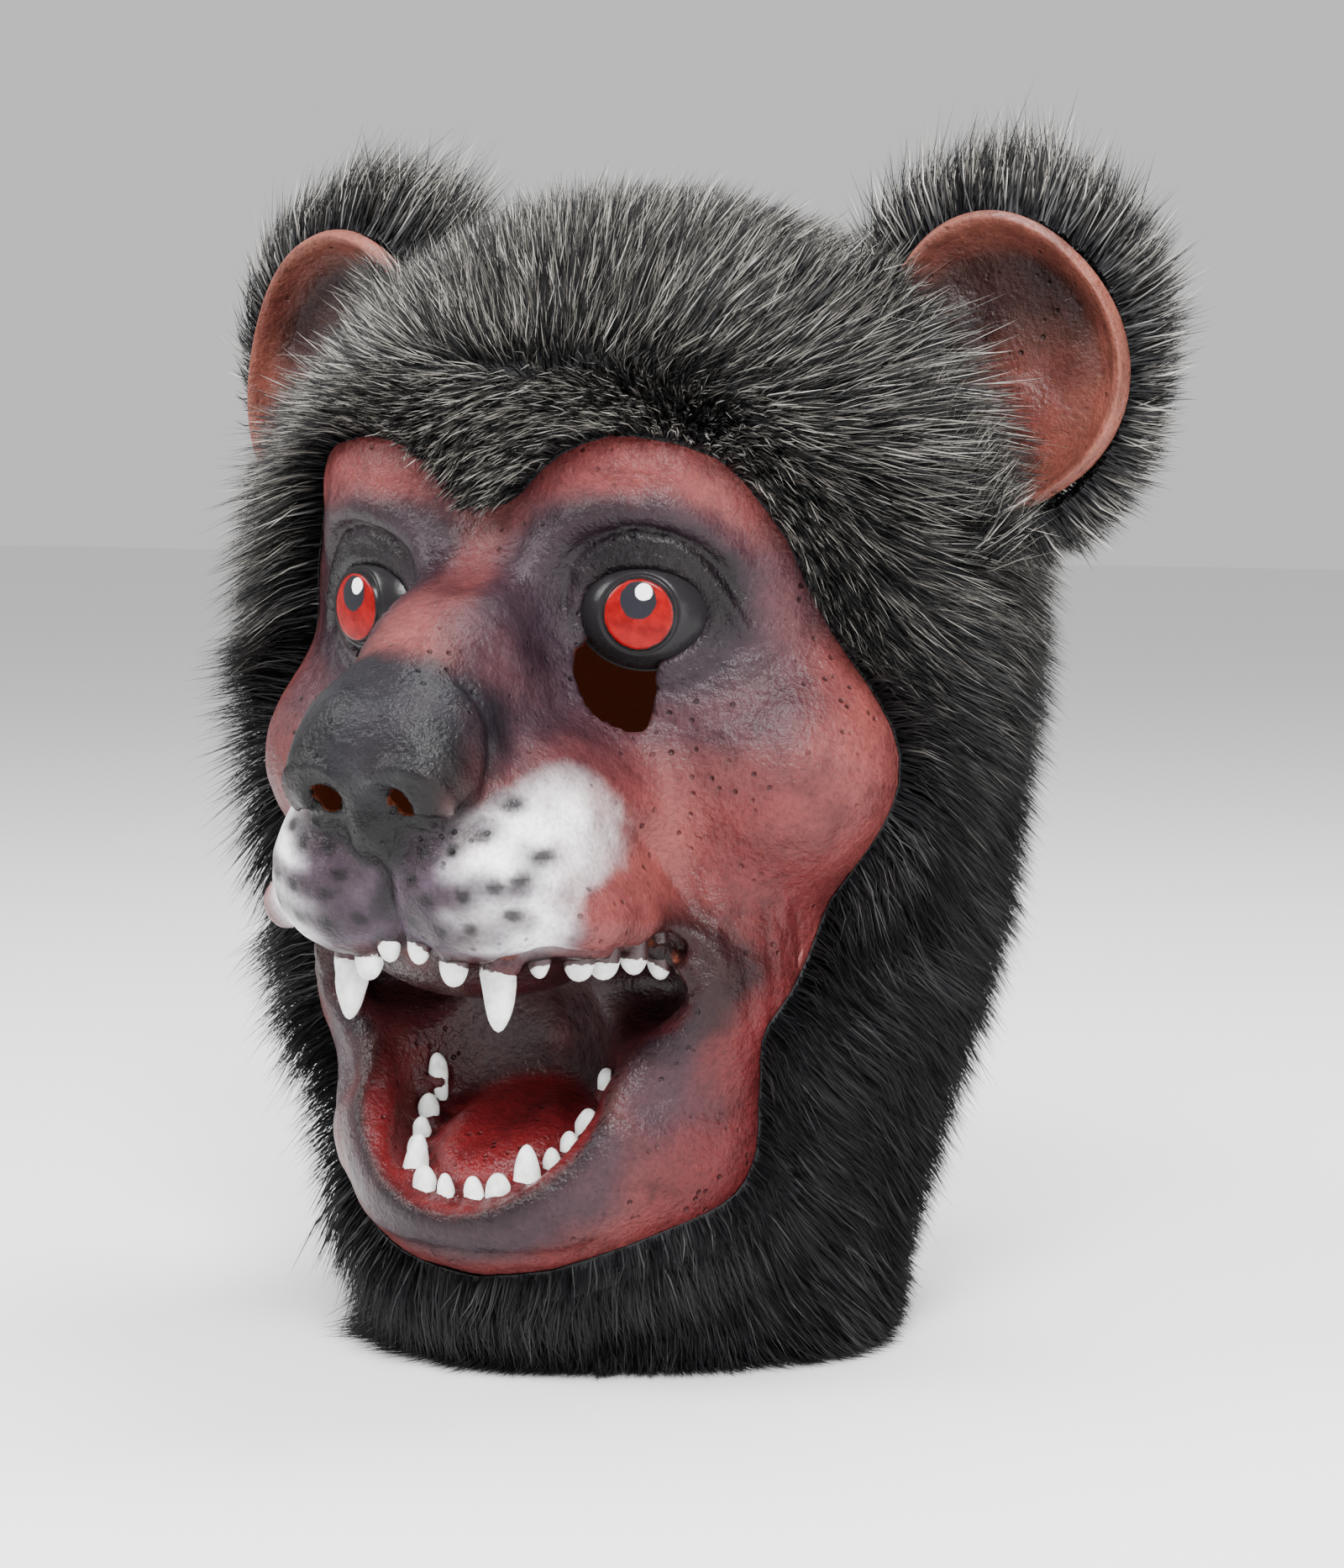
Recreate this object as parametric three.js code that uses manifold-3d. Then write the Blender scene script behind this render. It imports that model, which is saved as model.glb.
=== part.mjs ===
// A full overhead rubber bear mask: a thin moulded latex head with an open snarling mouth,
// painted eyes and teeth, bare ears and a deep black pile over everything but the face.
// Millimetres, +Z up, the mask looks along -Y, and its neck rim stands on z = 0.
import * as THREE from "three";
import { mergeVertices } from "three/addons/utils/BufferGeometryUtils.js";
import Module from "manifold-3d";

const wasm = await Module();
wasm.setup();

// Head and neck
const HEAD_WIDTH = 194;
const HEAD_DEPTH = 184;
const CROWN_HEIGHT = 309;
const NECK_WIDTH = 132;
const NECK_DEPTH = 142;
const HEAD_SET_BACK = 12;
const LATEX_WALL = 2.5;
const ROUNDING = 16;

// Muzzle, mouth and eyes
const MUZZLE_WIDTH = 94;
const MUZZLE_LENGTH = 62;
const MUZZLE_HEIGHT = 150;
const MUZZLE_HALF_DEPTH = 35;
const MOUTH_WIDTH = 106;
const MOUTH_GAPE = 64;
const LOWER_LIP_HEIGHT = 49;
const EYE_SPACING = 86;
const EYE_HEIGHT = 206;
const EYE_WIDTH = 41;
const EYE_OPENING = 31;
const LID_THICKNESS = 7;
const SIGHT_HOLE_WIDTH = 21;
const SIGHT_HOLE_HEIGHT = 23;
const NOSTRIL_HOLE = 9;

// Ears
const EAR_WIDTH = 74;
const EAR_HEIGHT = 84;
const EAR_THICKNESS = 4.5;
const EAR_DISH = 12;
const EAR_SPREAD = 214;
const EAR_LEVEL = 270;
const EAR_TURN = 8;

// Fur
const FUR_DEPTH = 20;
const FUR_LOCK_RELIEF = 11;
const FUR_HEM_LIFT = 2;
const EAR_FUR_REACH = 20;
const EAR_FUR_THICKNESS = 13;

// Teeth: length out of the gum, depth of the root in it and width
const CANINE_LENGTH = 17;
const TOOTH_LENGTH = 6;
const TOOTH_ROOT = 12;
const TOOTH_WIDTH = 8.5;

// Gap that pieces keep to each other
const CLEARANCE = 0.35;

// Fineness of the faceted skin
const COLUMNS = 42;
const MOUTH_RINGS = 3;
const FACE_RINGS = 11;
const BACK_RINGS = 7;
const LOCK_COLUMNS = 46;
const LOCK_ROWS = 9;

const FRONT = HEAD_SET_BACK - HEAD_DEPTH / 2;
const LEFT = 1;
const RIGHT = -1;

// Frames: a table's places and radii are shares of its frame's three units, along X, Y and Z.
const FRAMES = {
  skull: { origin: [0, 0, 0], unit: [HEAD_WIDTH / 2, HEAD_DEPTH / 2, CROWN_HEIGHT] },
  neck: { origin: [0, HEAD_SET_BACK, 0], unit: [NECK_WIDTH / 2, NECK_DEPTH / 2, CROWN_HEIGHT] },
  muzzle: {
    origin: [0, FRONT, MUZZLE_HEIGHT],
    unit: [MUZZLE_WIDTH / 2, MUZZLE_LENGTH, MUZZLE_HALF_DEPTH],
  },
  mouth: { origin: [0, FRONT, LOWER_LIP_HEIGHT], unit: [MOUTH_WIDTH / 2, MUZZLE_LENGTH, MOUTH_GAPE] },
  eye: {
    origin: [EYE_SPACING / 2, FRONT, EYE_HEIGHT],
    unit: [EYE_WIDTH / 2, EYE_WIDTH / 2, EYE_WIDTH / 2],
  },
};

// The head is a run of rounded forms, each added (+1) or pressed in (-1) with a soft blend, whose width
// is a share of ROUNDING. Pitch tips a form's front down and yaw turns it outwards, in degrees.
const FORMS = [
  { name: "cranium", frame: "skull", sign: 1, x: 0, y: 0.13, z: 0.69, rx: 1, ry: 1, rz: 0.31 },
  { name: "midhead", frame: "skull", sign: 1, x: 0, y: 0.15, z: 0.42, rx: 0.89, ry: 0.93, rz: 0.29,
    blend: 2.5 },
  { name: "neck", frame: "neck", sign: 1, x: 0, y: 0, z: 0.06, rx: 1, ry: 1, rz: 0.29, blend: 2.5 },
  { name: "brow", frame: "skull", sign: 1, x: 0.36, y: -0.55, z: 0.78, rx: 0.3, ry: 0.27, rz: 0.07,
    blend: 0.9 },
  { name: "cheek", frame: "skull", sign: 1, x: 0.67, y: -0.35, z: 0.525, rx: 0.34, ry: 0.34, rz: 0.1,
    blend: 1 },
  { name: "jowl", frame: "skull", sign: 1, x: 0.52, y: -0.45, z: 0.34, rx: 0.23, ry: 0.33, rz: 0.11,
    blend: 1 },
  { name: "core", frame: "muzzle", sign: 1, x: 0, y: -0.03, z: 0.06, rx: 1, ry: 0.74, rz: 0.97, blend: 1 },
  { name: "bridge", frame: "muzzle", sign: 1, x: 0, y: -0.13, z: 1.37, rx: 0.51, ry: 0.68, rz: 0.54,
    pitch: 24, blend: 1 },
  { name: "lip", frame: "muzzle", sign: 1, x: 0.81, y: 0.03, z: -0.63, rx: 0.32, ry: 0.55, rz: 0.37, yaw: 16,
    blend: 0.6 },
  { name: "pad", frame: "muzzle", sign: 1, x: 0.4, y: -0.39, z: -0.31, rx: 0.55, ry: 0.44, rz: 0.69,
    blend: 0.55 },
  { name: "jaw", frame: "mouth", sign: 1, x: 0, y: 0.61, z: 0.2, rx: 1.21, ry: 0.89, rz: 0.62, blend: 1 },
  { name: "chin", frame: "mouth", sign: 1, x: 0, y: 0.16, z: -0.03, rx: 0.72, ry: 0.47, rz: 0.31,
    blend: 0.75 },
  { name: "nose", frame: "muzzle", sign: 1, x: 0, y: -0.62, z: 0.68, rx: 0.58, ry: 0.37, rz: 0.6,
    blend: 0.4 },
  { name: "wing", frame: "muzzle", sign: 1, x: 0.32, y: -0.76, z: 0.46, rx: 0.26, ry: 0.21, rz: 0.37,
    blend: 0.3 },
  { name: "septum", frame: "muzzle", sign: 1, x: 0, y: -0.77, z: 0.2, rx: 0.19, ry: 0.15, rz: 0.43,
    blend: 0.25 },
  { name: "groove", frame: "muzzle", sign: -1, x: 0, y: -0.9, z: -0.51, rx: 0.05, ry: 0.16, rz: 0.43,
    blend: 0.25 },
  { name: "socket", frame: "eye", sign: -1, x: 0.1, y: -0.1, z: 0.05, rx: 1.22, ry: 0.78, rz: 0.98, yaw: 15,
    blend: 0.6 },
  { name: "furrow", frame: "skull", sign: -1, x: 0, y: -0.98, z: 0.79, rx: 0.09, ry: 0.13, rz: 0.08,
    blend: 1 },
  { name: "upper mouth", frame: "mouth", sign: -1, x: 0, y: -0.2, z: 0.88, rx: 0.87, ry: 0.65, rz: 0.2,
    pitch: 4, blend: 0.4 },
  { name: "corner", frame: "mouth", sign: -1, x: 0.68, y: 0.13, z: 0.86, rx: 0.38, ry: 0.42, rz: 0.19,
    blend: 0.4 },
  { name: "lower mouth", frame: "mouth", sign: -1, x: 0, y: -0.1, z: 0.52, rx: 0.7, ry: 0.72, rz: 0.52,
    pitch: 14, blend: 0.5 },
  { name: "palate", frame: "mouth", sign: 1, x: 0, y: 0.03, z: 1.14, rx: 0.66, ry: 0.55, rz: 0.3,
    blend: 0.4 },
  { name: "tongue", frame: "mouth", sign: 1, x: 0, y: 0.26, z: 0.17, rx: 0.42, ry: 0.44, rz: 0.2, pitch: 22,
    blend: 0.4 },
  { name: "tongue trough", frame: "mouth", sign: -1, x: 0, y: 0.16, z: 0.45, rx: 0.13, ry: 0.45, rz: 0.14,
    pitch: 22, blend: 0.6 },
];

// Where the face's bare skin meets the fur, from the widow's peak round one side to under the chin.
// Around is the angle about the head's upright axis, in degrees, and level a share of the crown's height.
const FACE_EDGE = [
  { around: 0, level: 0.75 },
  { around: 7, level: 0.777 },
  { around: 15, level: 0.802 },
  { around: 24, level: 0.817 },
  { around: 32, level: 0.811 },
  { around: 40, level: 0.788 },
  { around: 47, level: 0.755 },
  { around: 50, level: 0.721 },
  { around: 54, level: 0.681 },
  { around: 58, level: 0.653 },
  { around: 62, level: 0.607 },
  { around: 66.5, level: 0.572 },
  { around: 67.5, level: 0.539 },
  { around: 65, level: 0.493 },
  { around: 61, level: 0.459 },
  { around: 60, level: 0.422 },
  { around: 57, level: 0.375 },
  { around: 52, level: 0.343 },
  { around: 45, level: 0.305 },
  { around: 47, level: 0.25 },
  { around: 47, level: 0.203 },
  { around: 44, level: 0.163 },
  { around: 33, level: 0.141 },
  { around: 21, level: 0.118 },
  { around: 13, level: 0.103 },
  { around: 0, level: 0.09 },
];

// Upper teeth: across and back are shares of half the mouth's width and of the muzzle's length, size a
// share of the tooth sizes. One row for each tooth of a side, from the middle to the corner.
const UPPER_TEETH = [
  { across: 0.085, back: -0.6, size: 0.85, canine: false },
  { across: 0.25, back: -0.55, size: 1, canine: false },
  { across: 0.44, back: -0.42, size: 1, canine: true },
  { across: 0.56, back: -0.3, size: 0.7, canine: false },
  { across: 0.67, back: -0.14, size: 1, canine: false },
  { across: 0.74, back: -0.04, size: 1.05, canine: false },
  { across: 0.82, back: 0.1, size: 0.95, canine: false },
  { across: 0.88, back: 0.24, size: 0.8, canine: false },
];
const LOWER_TEETH = [
  { across: 0.08, back: -0.19, size: 0.95, canine: false },
  { across: 0.22, back: -0.17, size: 0.95, canine: false },
  { across: 0.32, back: -0.1, size: 0.7, canine: true },
  { across: 0.4, back: 0.01, size: 0.85, canine: false },
  { across: 0.44, back: 0.1, size: 0.9, canine: false },
  { across: 0.49, back: 0.21, size: 0.9, canine: false },
  { across: 0.53, back: 0.32, size: 0.85, canine: false },
];

const rad = THREE.MathUtils.degToRad;

function placed(form) {
  const { origin, unit } = FRAMES[form.frame];
  return {
    sign: form.sign,
    center: new THREE.Vector3(
      origin[0] + form.x * unit[0],
      origin[1] + form.y * unit[1],
      origin[2] + form.z * unit[2],
    ),
    radii: new THREE.Vector3(form.rx * unit[0], form.ry * unit[1], form.rz * unit[2]),
    pitch: rad(form.pitch ?? 0),
    yaw: rad(form.yaw ?? 0),
    blend: (form.blend ?? 0) * ROUNDING,
  };
}

const forms = FORMS.map(placed);

// Distance to one rounded form, negative inside.
function formDistance(form, x, y, z) {
  let px = x - form.center.x;
  let py = y - form.center.y;
  let pz = z - form.center.z;
  if (form.yaw) {
    const c = Math.cos(form.yaw);
    const s = Math.sin(form.yaw);
    [px, py] = [c * px + s * py, c * py - s * px];
  }
  if (form.pitch) {
    const c = Math.cos(form.pitch);
    const s = Math.sin(form.pitch);
    [py, pz] = [c * py + s * pz, c * pz - s * py];
  }
  const { x: rx, y: ry, z: rz } = form.radii;
  const scaled = Math.hypot(px / rx, py / ry, pz / rz);
  const slope = Math.hypot(px / rx ** 2, py / ry ** 2, pz / rz ** 2);
  return (scaled * (scaled - 1)) / Math.max(slope, 1e-9);
}

function softMin(a, b, width) {
  if (width <= 0) return Math.min(a, b);
  const h = Math.max(width - Math.abs(a - b), 0) / width;
  return Math.min(a, b) - (h * h * width) / 4;
}

// Distance to the head's skin, negative inside. The head is the same on both sides.
function headDistance(x, y, z) {
  let d = Infinity;
  for (const form of forms) {
    const e = formDistance(form, Math.abs(x), y, z);
    d = form.sign > 0 ? softMin(d, e, form.blend) : -softMin(-d, e, form.blend);
  }
  return d;
}

// The skin is mapped by rays from a point in the hollow behind the throat, this far behind the front of
// the head. Columns run from the pole in the mouth over the crown, the sides or the chin to the pole
// straight down, and rings cross them.
const HEART_DEPTH = 80.04;
const HEART = new THREE.Vector3(0, FRONT + HEART_DEPTH, LOWER_LIP_HEIGHT + 0.67 * MOUTH_GAPE);
const MOUTH_POLE = new THREE.Vector3(0, -1, -0.1).normalize();
const FOOT_POLE = new THREE.Vector3(0, 0.12, -1).normalize();
const chordMiddle = MOUTH_POLE.clone().add(FOOT_POLE).multiplyScalar(0.5);
const chordAxis = FOOT_POLE.clone().sub(MOUTH_POLE).normalize();
const chordHalf = FOOT_POLE.distanceTo(MOUTH_POLE) / 2;
const chordOut = chordMiddle.clone().normalize();
const chordSide = chordOut.clone().cross(chordAxis);

// Direction of the ray at a turn about the poles' chord (0 at the chin, PI over the crown) and a share
// of the way from the mouth's pole to the foot's.
function direction(turn, share) {
  const m = chordMiddle.length();
  const shift = m * Math.cos(turn);
  const radius = Math.sqrt(1 - (m * Math.sin(turn)) ** 2);
  const half = Math.atan2(chordHalf, shift);
  const angle = half * (1 - 2 * share);
  return chordMiddle
    .clone()
    .addScaledVector(chordAxis, -radius * Math.sin(angle))
    .addScaledVector(chordOut, (radius * Math.cos(angle) - shift) * Math.cos(turn))
    .addScaledVector(chordSide, (radius * Math.cos(angle) - shift) * Math.sin(turn));
}

function pointOnRay(dir, r) {
  return HEART.clone().addScaledVector(dir, r);
}

// How far along a ray the distance field first reaches a level.
function reach(dir, level) {
  const step = 2;
  const value = (r) => headDistance(HEART.x + dir.x * r, HEART.y + dir.y * r, HEART.z + dir.z * r) - level;
  let r = step;
  while (value(r) < 0 && r < 2 * CROWN_HEIGHT) r += step;
  let low = r - step;
  for (let i = 0; i < 12; i++) {
    const middle = (low + r) / 2;
    if (value(middle) < 0) low = middle;
    else r = middle;
  }
  return (low + r) / 2;
}

// Turns of a grid's columns, closer together over the nose and eyes.
const CROWDING = 0.35;

function turnsOf(count) {
  return Array.from({ length: count }, (_, i) => {
    const even = (2 * Math.PI * i) / count;
    return even + CROWDING * Math.sin(even);
  });
}

// Share along a column where the lips' edge lies: the greatest step outwards of the skin.
function lipShare(turn) {
  const samples = 120;
  const far = 0.45;
  let best = 0;
  let share = 0;
  let last = reach(direction(turn, 0), 0);
  for (let i = 1; i <= samples; i++) {
    const next = reach(direction(turn, (far * i) / samples), 0);
    if (next - last > best) {
      best = next - last;
      share = (far * (i - 0.5)) / samples;
    }
    last = next;
  }
  return share;
}

// Angle of a place about the head's upright axis, in degrees, 0 in front.
function aroundAngle(p) {
  return THREE.MathUtils.radToDeg(Math.atan2(p.x / HEAD_WIDTH, (HEAD_SET_BACK - p.y) / HEAD_DEPTH));
}

// Share along a column where the face ends and the fur begins.
function edgeShare(turn) {
  const inFace = (share) => {
    const dir = direction(turn, share);
    const p = pointOnRay(dir, reach(dir, 0));
    return insideEdge(Math.abs(aroundAngle(p)), p.z / CROWN_HEIGHT);
  };
  const step = 0.02;
  let high = 5 * step;
  while (inFace(high) && high < 0.9) high += step;
  let low = high - step;
  for (let i = 0; i < 10; i++) {
    const middle = (low + high) / 2;
    if (inFace(middle)) low = middle;
    else high = middle;
  }
  return (low + high) / 2;
}

// True for a place inside the face's edge, by the crossings of a level line with it.
function insideEdge(around, level) {
  let inside = false;
  FACE_EDGE.slice(1).forEach((a, i) => {
    const b = FACE_EDGE[i];
    if (a.level > level === b.level > level) return;
    const cross = a.around + ((level - a.level) / (b.level - a.level)) * (b.around - a.around);
    if (around < cross) inside = !inside;
  });
  return inside;
}

// Share along a column where the skin passes below the rim, so that the cut there is level.
function footShare(turn) {
  let share = 0.4;
  const below = -ROUNDING / 4;
  const level = (s) => {
    const dir = direction(turn, s);
    return pointOnRay(dir, reach(dir, 0)).z;
  };
  while (level(share) > below && share < 0.98) share += 0.01;
  return share;
}

// Shares along a column of the grid of the bare skin: rings in the mouth, two close together at the
// lips, the face's, and the wider spaced ones that the fur covers.
const LIP_HALF_WIDTH = 0.004;

function skinShares(turn) {
  const lip = lipShare(turn);
  const edge = Math.max(edgeShare(turn), lip + 0.03);
  const foot = Math.max(footShare(turn), edge + 0.03);
  const shares = [];
  for (let k = 1; k <= MOUTH_RINGS; k++) {
    shares.push((lip - LIP_HALF_WIDTH) * (k / MOUTH_RINGS) ** 0.8);
  }
  for (let k = 0; k <= FACE_RINGS; k++) {
    shares.push(lip + LIP_HALF_WIDTH + (edge - lip - LIP_HALF_WIDTH) * (k / FACE_RINGS));
  }
  for (let k = 1; k <= BACK_RINGS; k++) shares.push(edge + (foot - edge) * (k / BACK_RINGS));
  return shares;
}

// Directions of a grid by column and ring.
function gridOf(turns, sharesOf) {
  return turns.map((turn) => sharesOf(turn).map((share) => direction(turn, share)));
}

const skinGrid = gridOf(turnsOf(COLUMNS), skinShares);

function meshOf(points, triangles) {
  const geometry = new THREE.BufferGeometry();
  const places = points.flatMap((p) => p.toArray());
  geometry.setAttribute("position", new THREE.Float32BufferAttribute(places, 3));
  geometry.setIndex(triangles.flat());
  return geometry;
}

function toSolid(geometry) {
  const bare = geometry.clone();
  bare.deleteAttribute("normal");
  bare.deleteAttribute("uv");
  const merged = mergeVertices(bare, 1e-4);
  const triVerts = new Uint32Array(merged.index.array);
  return new wasm.Manifold(
    new wasm.Mesh({ numProp: 3, vertProperties: merged.attributes.position.array, triVerts }),
  );
}

// Closed solid from a starting point through the rings of a grid to its foot point. Columns are lists of
// points of equal length.
function solidOfColumns(start, columns, foot) {
  const rings = columns[0].length;
  const points = [start, ...columns.flat(), foot];
  const at = (column, ring) => 1 + (column % columns.length) * rings + ring;
  const faces = [];
  for (let i = 0; i < columns.length; i++) {
    faces.push([0, at(i, 0), at(i + 1, 0)], [points.length - 1, at(i + 1, rings - 1), at(i, rings - 1)]);
    for (let k = 0; k + 1 < rings; k++) {
      faces.push([at(i, k), at(i, k + 1), at(i + 1, k + 1)], [at(i, k), at(i + 1, k + 1), at(i + 1, k)]);
    }
  }
  return toSolid(meshOf(points, faces));
}

// Solid inside the skin at a level, from the mouth's pole to the foot's.
function skinSolid(level) {
  const surface = (dir) => pointOnRay(dir, reach(dir, level));
  return solidOfColumns(
    surface(MOUTH_POLE),
    skinGrid.map((column) => column.map(surface)),
    surface(FOOT_POLE),
  );
}

// The fur's rows of locks: shares along a column from the face's edge to the foot, two rings a row.
function furShares(turn) {
  const edge = edgeShare(turn);
  const foot = Math.max(footShare(turn), edge + 0.03);
  return Array.from({ length: 2 * LOCK_ROWS + 1 }, (_, k) => edge + ((foot - edge) * k) / (2 * LOCK_ROWS));
}

const furGrid = gridOf(turnsOf(LOCK_COLUMNS), furShares);

// Height of the pile at a ring and column: the tips of a row stand out over the roots of the next, and
// every second lock is half a step along. The pile is short at the face and drawn in at the hem.
function furLevel(ring, column) {
  if (ring === 0) return 0.12 * FUR_DEPTH;
  const lastRing = 2 * LOCK_ROWS;
  const rise = Math.min(0.55 + 0.2 * ring, 1);
  const fall = Math.min(0.2 + 0.2 * (lastRing - ring), 1);
  const isTipRing = ring % 2 === 1;
  const isTip = isTipRing && (column + (ring - 1) / 2) % 2 === 0;
  const relief = isTip ? 0.5 : isTipRing ? -0.2 : -0.5;
  return Math.max(FUR_DEPTH * rise * fall + relief * FUR_LOCK_RELIEF, 3 * CLEARANCE);
}

// Solid inside the fur's face, cut off by a cone from the heart to the face's edge. Grow swells it.
function furSolid(grow) {
  const surface = (dir, level) => pointOnRay(dir, reach(dir, level + grow));
  return solidOfColumns(
    HEART,
    furGrid.map((column, i) => column.map((dir, ring) => surface(dir, furLevel(ring, i)))),
    surface(FOOT_POLE, FUR_DEPTH / 2),
  );
}

function blockBelow(level) {
  const size = 4 * CROWN_HEIGHT;
  const box = new THREE.BoxGeometry(size, size, size).translate(0, 0, level - size / 2);
  return toSolid(box);
}

// Puts a shape drawn about the origin, facing -Y, at a place, turned outwards.
function set(geometry, side, place, turn) {
  return geometry
    .rotateZ(side * rad(turn))
    .translate(side * place.x, place.y, place.z);
}

// The ear is a dish with a rolled rim: an elliptical lathe whose profile runs from the middle of the
// front out to the rim and back to the middle of the rear. Grow swells it for its neighbours' gap.
const EAR_AHEAD = 5;
const EAR_PLACE = new THREE.Vector3(EAR_SPREAD / 2, HEAD_SET_BACK - EAR_AHEAD, EAR_LEVEL);
const EAR_PROFILE = [
  { out: 0, dip: 1, back: 0 },
  { out: 0.4, dip: 0.86, back: 0 },
  { out: 0.72, dip: 0.5, back: 0 },
  { out: 0.9, dip: 0.1, back: 0 },
  { out: 0.97, dip: -0.08, back: 0 },
  { out: 1, dip: 0.02, back: 0.8 },
  { out: 0.93, dip: 0.2, back: 1.3 },
  { out: 0.74, dip: 0.62, back: 1.2 },
  { out: 0.4, dip: 0.92, back: 1.2 },
  { out: 0, dip: 1, back: 1.2 },
];

function earSolid(side, grow) {
  const sides = 20;
  const rearRow = EAR_PROFILE.findIndex((row) => row.back > 0);
  const profile = EAR_PROFILE.map((row, i) => {
    const swell = i < rearRow ? -grow : grow;
    return new THREE.Vector2(row.out, row.dip * EAR_DISH + row.back * EAR_THICKNESS + swell);
  });
  const shape = new THREE.LatheGeometry(profile, sides);
  shape.scale(EAR_WIDTH / 2 + grow, 1, EAR_HEIGHT / 2 + grow);
  return toSolid(set(shape, side, EAR_PLACE, EAR_TURN));
}

// The ear's fur wraps its back and stands past its rim in pointed locks.
const EAR_FUR_PROFILE = [
  { out: 0, reach: 0, back: 0.25 },
  { out: 0.5, reach: 0, back: 0.25 },
  { out: 0.99, reach: 0, back: -0.62 },
  { out: 1, reach: 0.16, back: -0.9 },
  { out: 1, reach: 1, back: -0.25 },
  { out: 1, reach: 0.5, back: 0.3 },
  { out: 0.7, reach: 0.2, back: 1 },
  { out: 0, reach: 0, back: 1.25 },
];

// Triangles of the band between two loops of equal length, given by the number of their first point.
function band(from, to, count) {
  const faces = [];
  for (let i = 0; i < count; i++) {
    const j = (i + 1) % count;
    faces.push([from + i, to + i, to + j], [from + i, to + j, from + j]);
  }
  return faces;
}

function earFurSolid(side) {
  const sides = 24;
  const points = [];
  const faces = [];
  const starts = [];
  const rear = EAR_DISH + EAR_THICKNESS;
  EAR_FUR_PROFILE.forEach((row) => {
    starts.push(points.length);
    const y = rear + row.back * EAR_FUR_THICKNESS;
    const count = row.out === 0 ? 1 : sides;
    for (let i = 0; i < count; i++) {
      const angle = (2 * Math.PI * i) / sides;
      const taller = 1 + 0.3 * Math.max(Math.sin(angle), 0);
      const stretch = row.reach * EAR_FUR_REACH * taller * (i % 2 ? 0.6 : 1);
      const x = (row.out * (EAR_WIDTH / 2) + stretch) * Math.cos(angle);
      const z = (row.out * (EAR_HEIGHT / 2) + stretch) * Math.sin(angle);
      points.push(new THREE.Vector3(x, y, z));
    }
  });
  for (let k = 1; k + 2 < starts.length; k++) faces.push(...band(starts[k], starts[k + 1], sides));
  for (let i = 0; i < sides; i++) {
    const j = (i + 1) % sides;
    faces.push([0, starts[1] + i, starts[1] + j]);
    faces.push([points.length - 1, starts.at(-2) + j, starts.at(-2) + i]);
  }
  return toSolid(set(meshOf(points, faces), side, EAR_PLACE, EAR_TURN));
}

// The lids are one almond ring round the eye, thicker above, that bends round the ball.
const LID_SET_BACK = 11.2;
const LID_TURN = 20;
const LID_PLACE = new THREE.Vector3(EYE_SPACING / 2, FRONT + LID_SET_BACK, EYE_HEIGHT);

function lidSolid(side, grow) {
  const around = 18;
  const section = 6;
  const points = [];
  const faces = [];
  for (let i = 0; i < around; i++) {
    const angle = (2 * Math.PI * i) / around;
    const x = (EYE_WIDTH / 2) * Math.cos(angle);
    const z = (EYE_OPENING / 2) * Math.sin(angle);
    const bow = (0.5 * x * x) / EYE_WIDTH;
    const radius = (LID_THICKNESS / 2) * (1 + 0.25 * Math.sin(angle)) + grow;
    const outward = new THREE.Vector3(
      Math.cos(angle) / EYE_WIDTH,
      0,
      Math.sin(angle) / EYE_OPENING,
    ).normalize();
    for (let k = 0; k < section; k++) {
      const turn = (2 * Math.PI * k) / section;
      points.push(
        new THREE.Vector3(x, bow, z)
          .addScaledVector(outward, radius * Math.cos(turn))
          .add(new THREE.Vector3(0, radius * Math.sin(turn), 0)),
      );
    }
  }
  for (let i = 0; i < around; i++) {
    const next = (i + 1) % around;
    for (let k = 0; k < section; k++) {
      const up = (k + 1) % section;
      const [a, b, c, d] = [i * section + k, next * section + k, next * section + up, i * section + up];
      faces.push([a, c, b], [a, d, c]);
    }
  }
  return toSolid(set(meshOf(points, faces), side, LID_PLACE, LID_TURN));
}

function ballSolid(side) {
  const shape = new THREE.SphereGeometry(1, 16, 10)
    .scale(EYE_WIDTH / 2 - LID_THICKNESS / 2, 0.42 * EYE_OPENING, EYE_OPENING / 2 - LID_THICKNESS / 4)
    .translate(0, 0.2 * EYE_OPENING, 0);
  return toSolid(set(shape, side, LID_PLACE, LID_TURN));
}

// The sight hole follows a ray through the skin, below the inner half of the eye.
function sightHole(side) {
  const across = EYE_SPACING / 2 - 0.1 * EYE_WIDTH;
  const level = EYE_HEIGHT - EYE_OPENING / 2 - LID_THICKNESS / 2 + 0.05 * SIGHT_HOLE_HEIGHT;
  const aim = new THREE.Vector3(across, FRONT + 0.2 * EYE_WIDTH, level).sub(HEART).normalize();
  const place = pointOnRay(aim, reach(aim, 0));
  const shape = new THREE.CylinderGeometry(0.5, 0.5, 1, 10);
  shape.scale(SIGHT_HOLE_WIDTH, 8 * LATEX_WALL, SIGHT_HOLE_HEIGHT);
  shape.applyQuaternion(new THREE.Quaternion().setFromUnitVectors(new THREE.Vector3(0, -1, 0), aim));
  return toSolid(mirrored(shape.translate(place.x, place.y, place.z), side));
}

// The same shape on the other side, where side is RIGHT.
function mirrored(geometry, side) {
  if (side === LEFT) return geometry;
  const flipped = geometry.clone().scale(-1, 1, 1);
  const index = flipped.index.array;
  for (let i = 0; i < index.length; i += 3) [index[i + 1], index[i + 2]] = [index[i + 2], index[i + 1]];
  return flipped;
}

// Place of a nostril in shares of the muzzle's units, and how far its hole slopes down to the front.
const NOSTRIL_PLACE = { across: 0.26, ahead: 0.9, up: 0.3 };
const NOSTRIL_SLOPE = 12;

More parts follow.
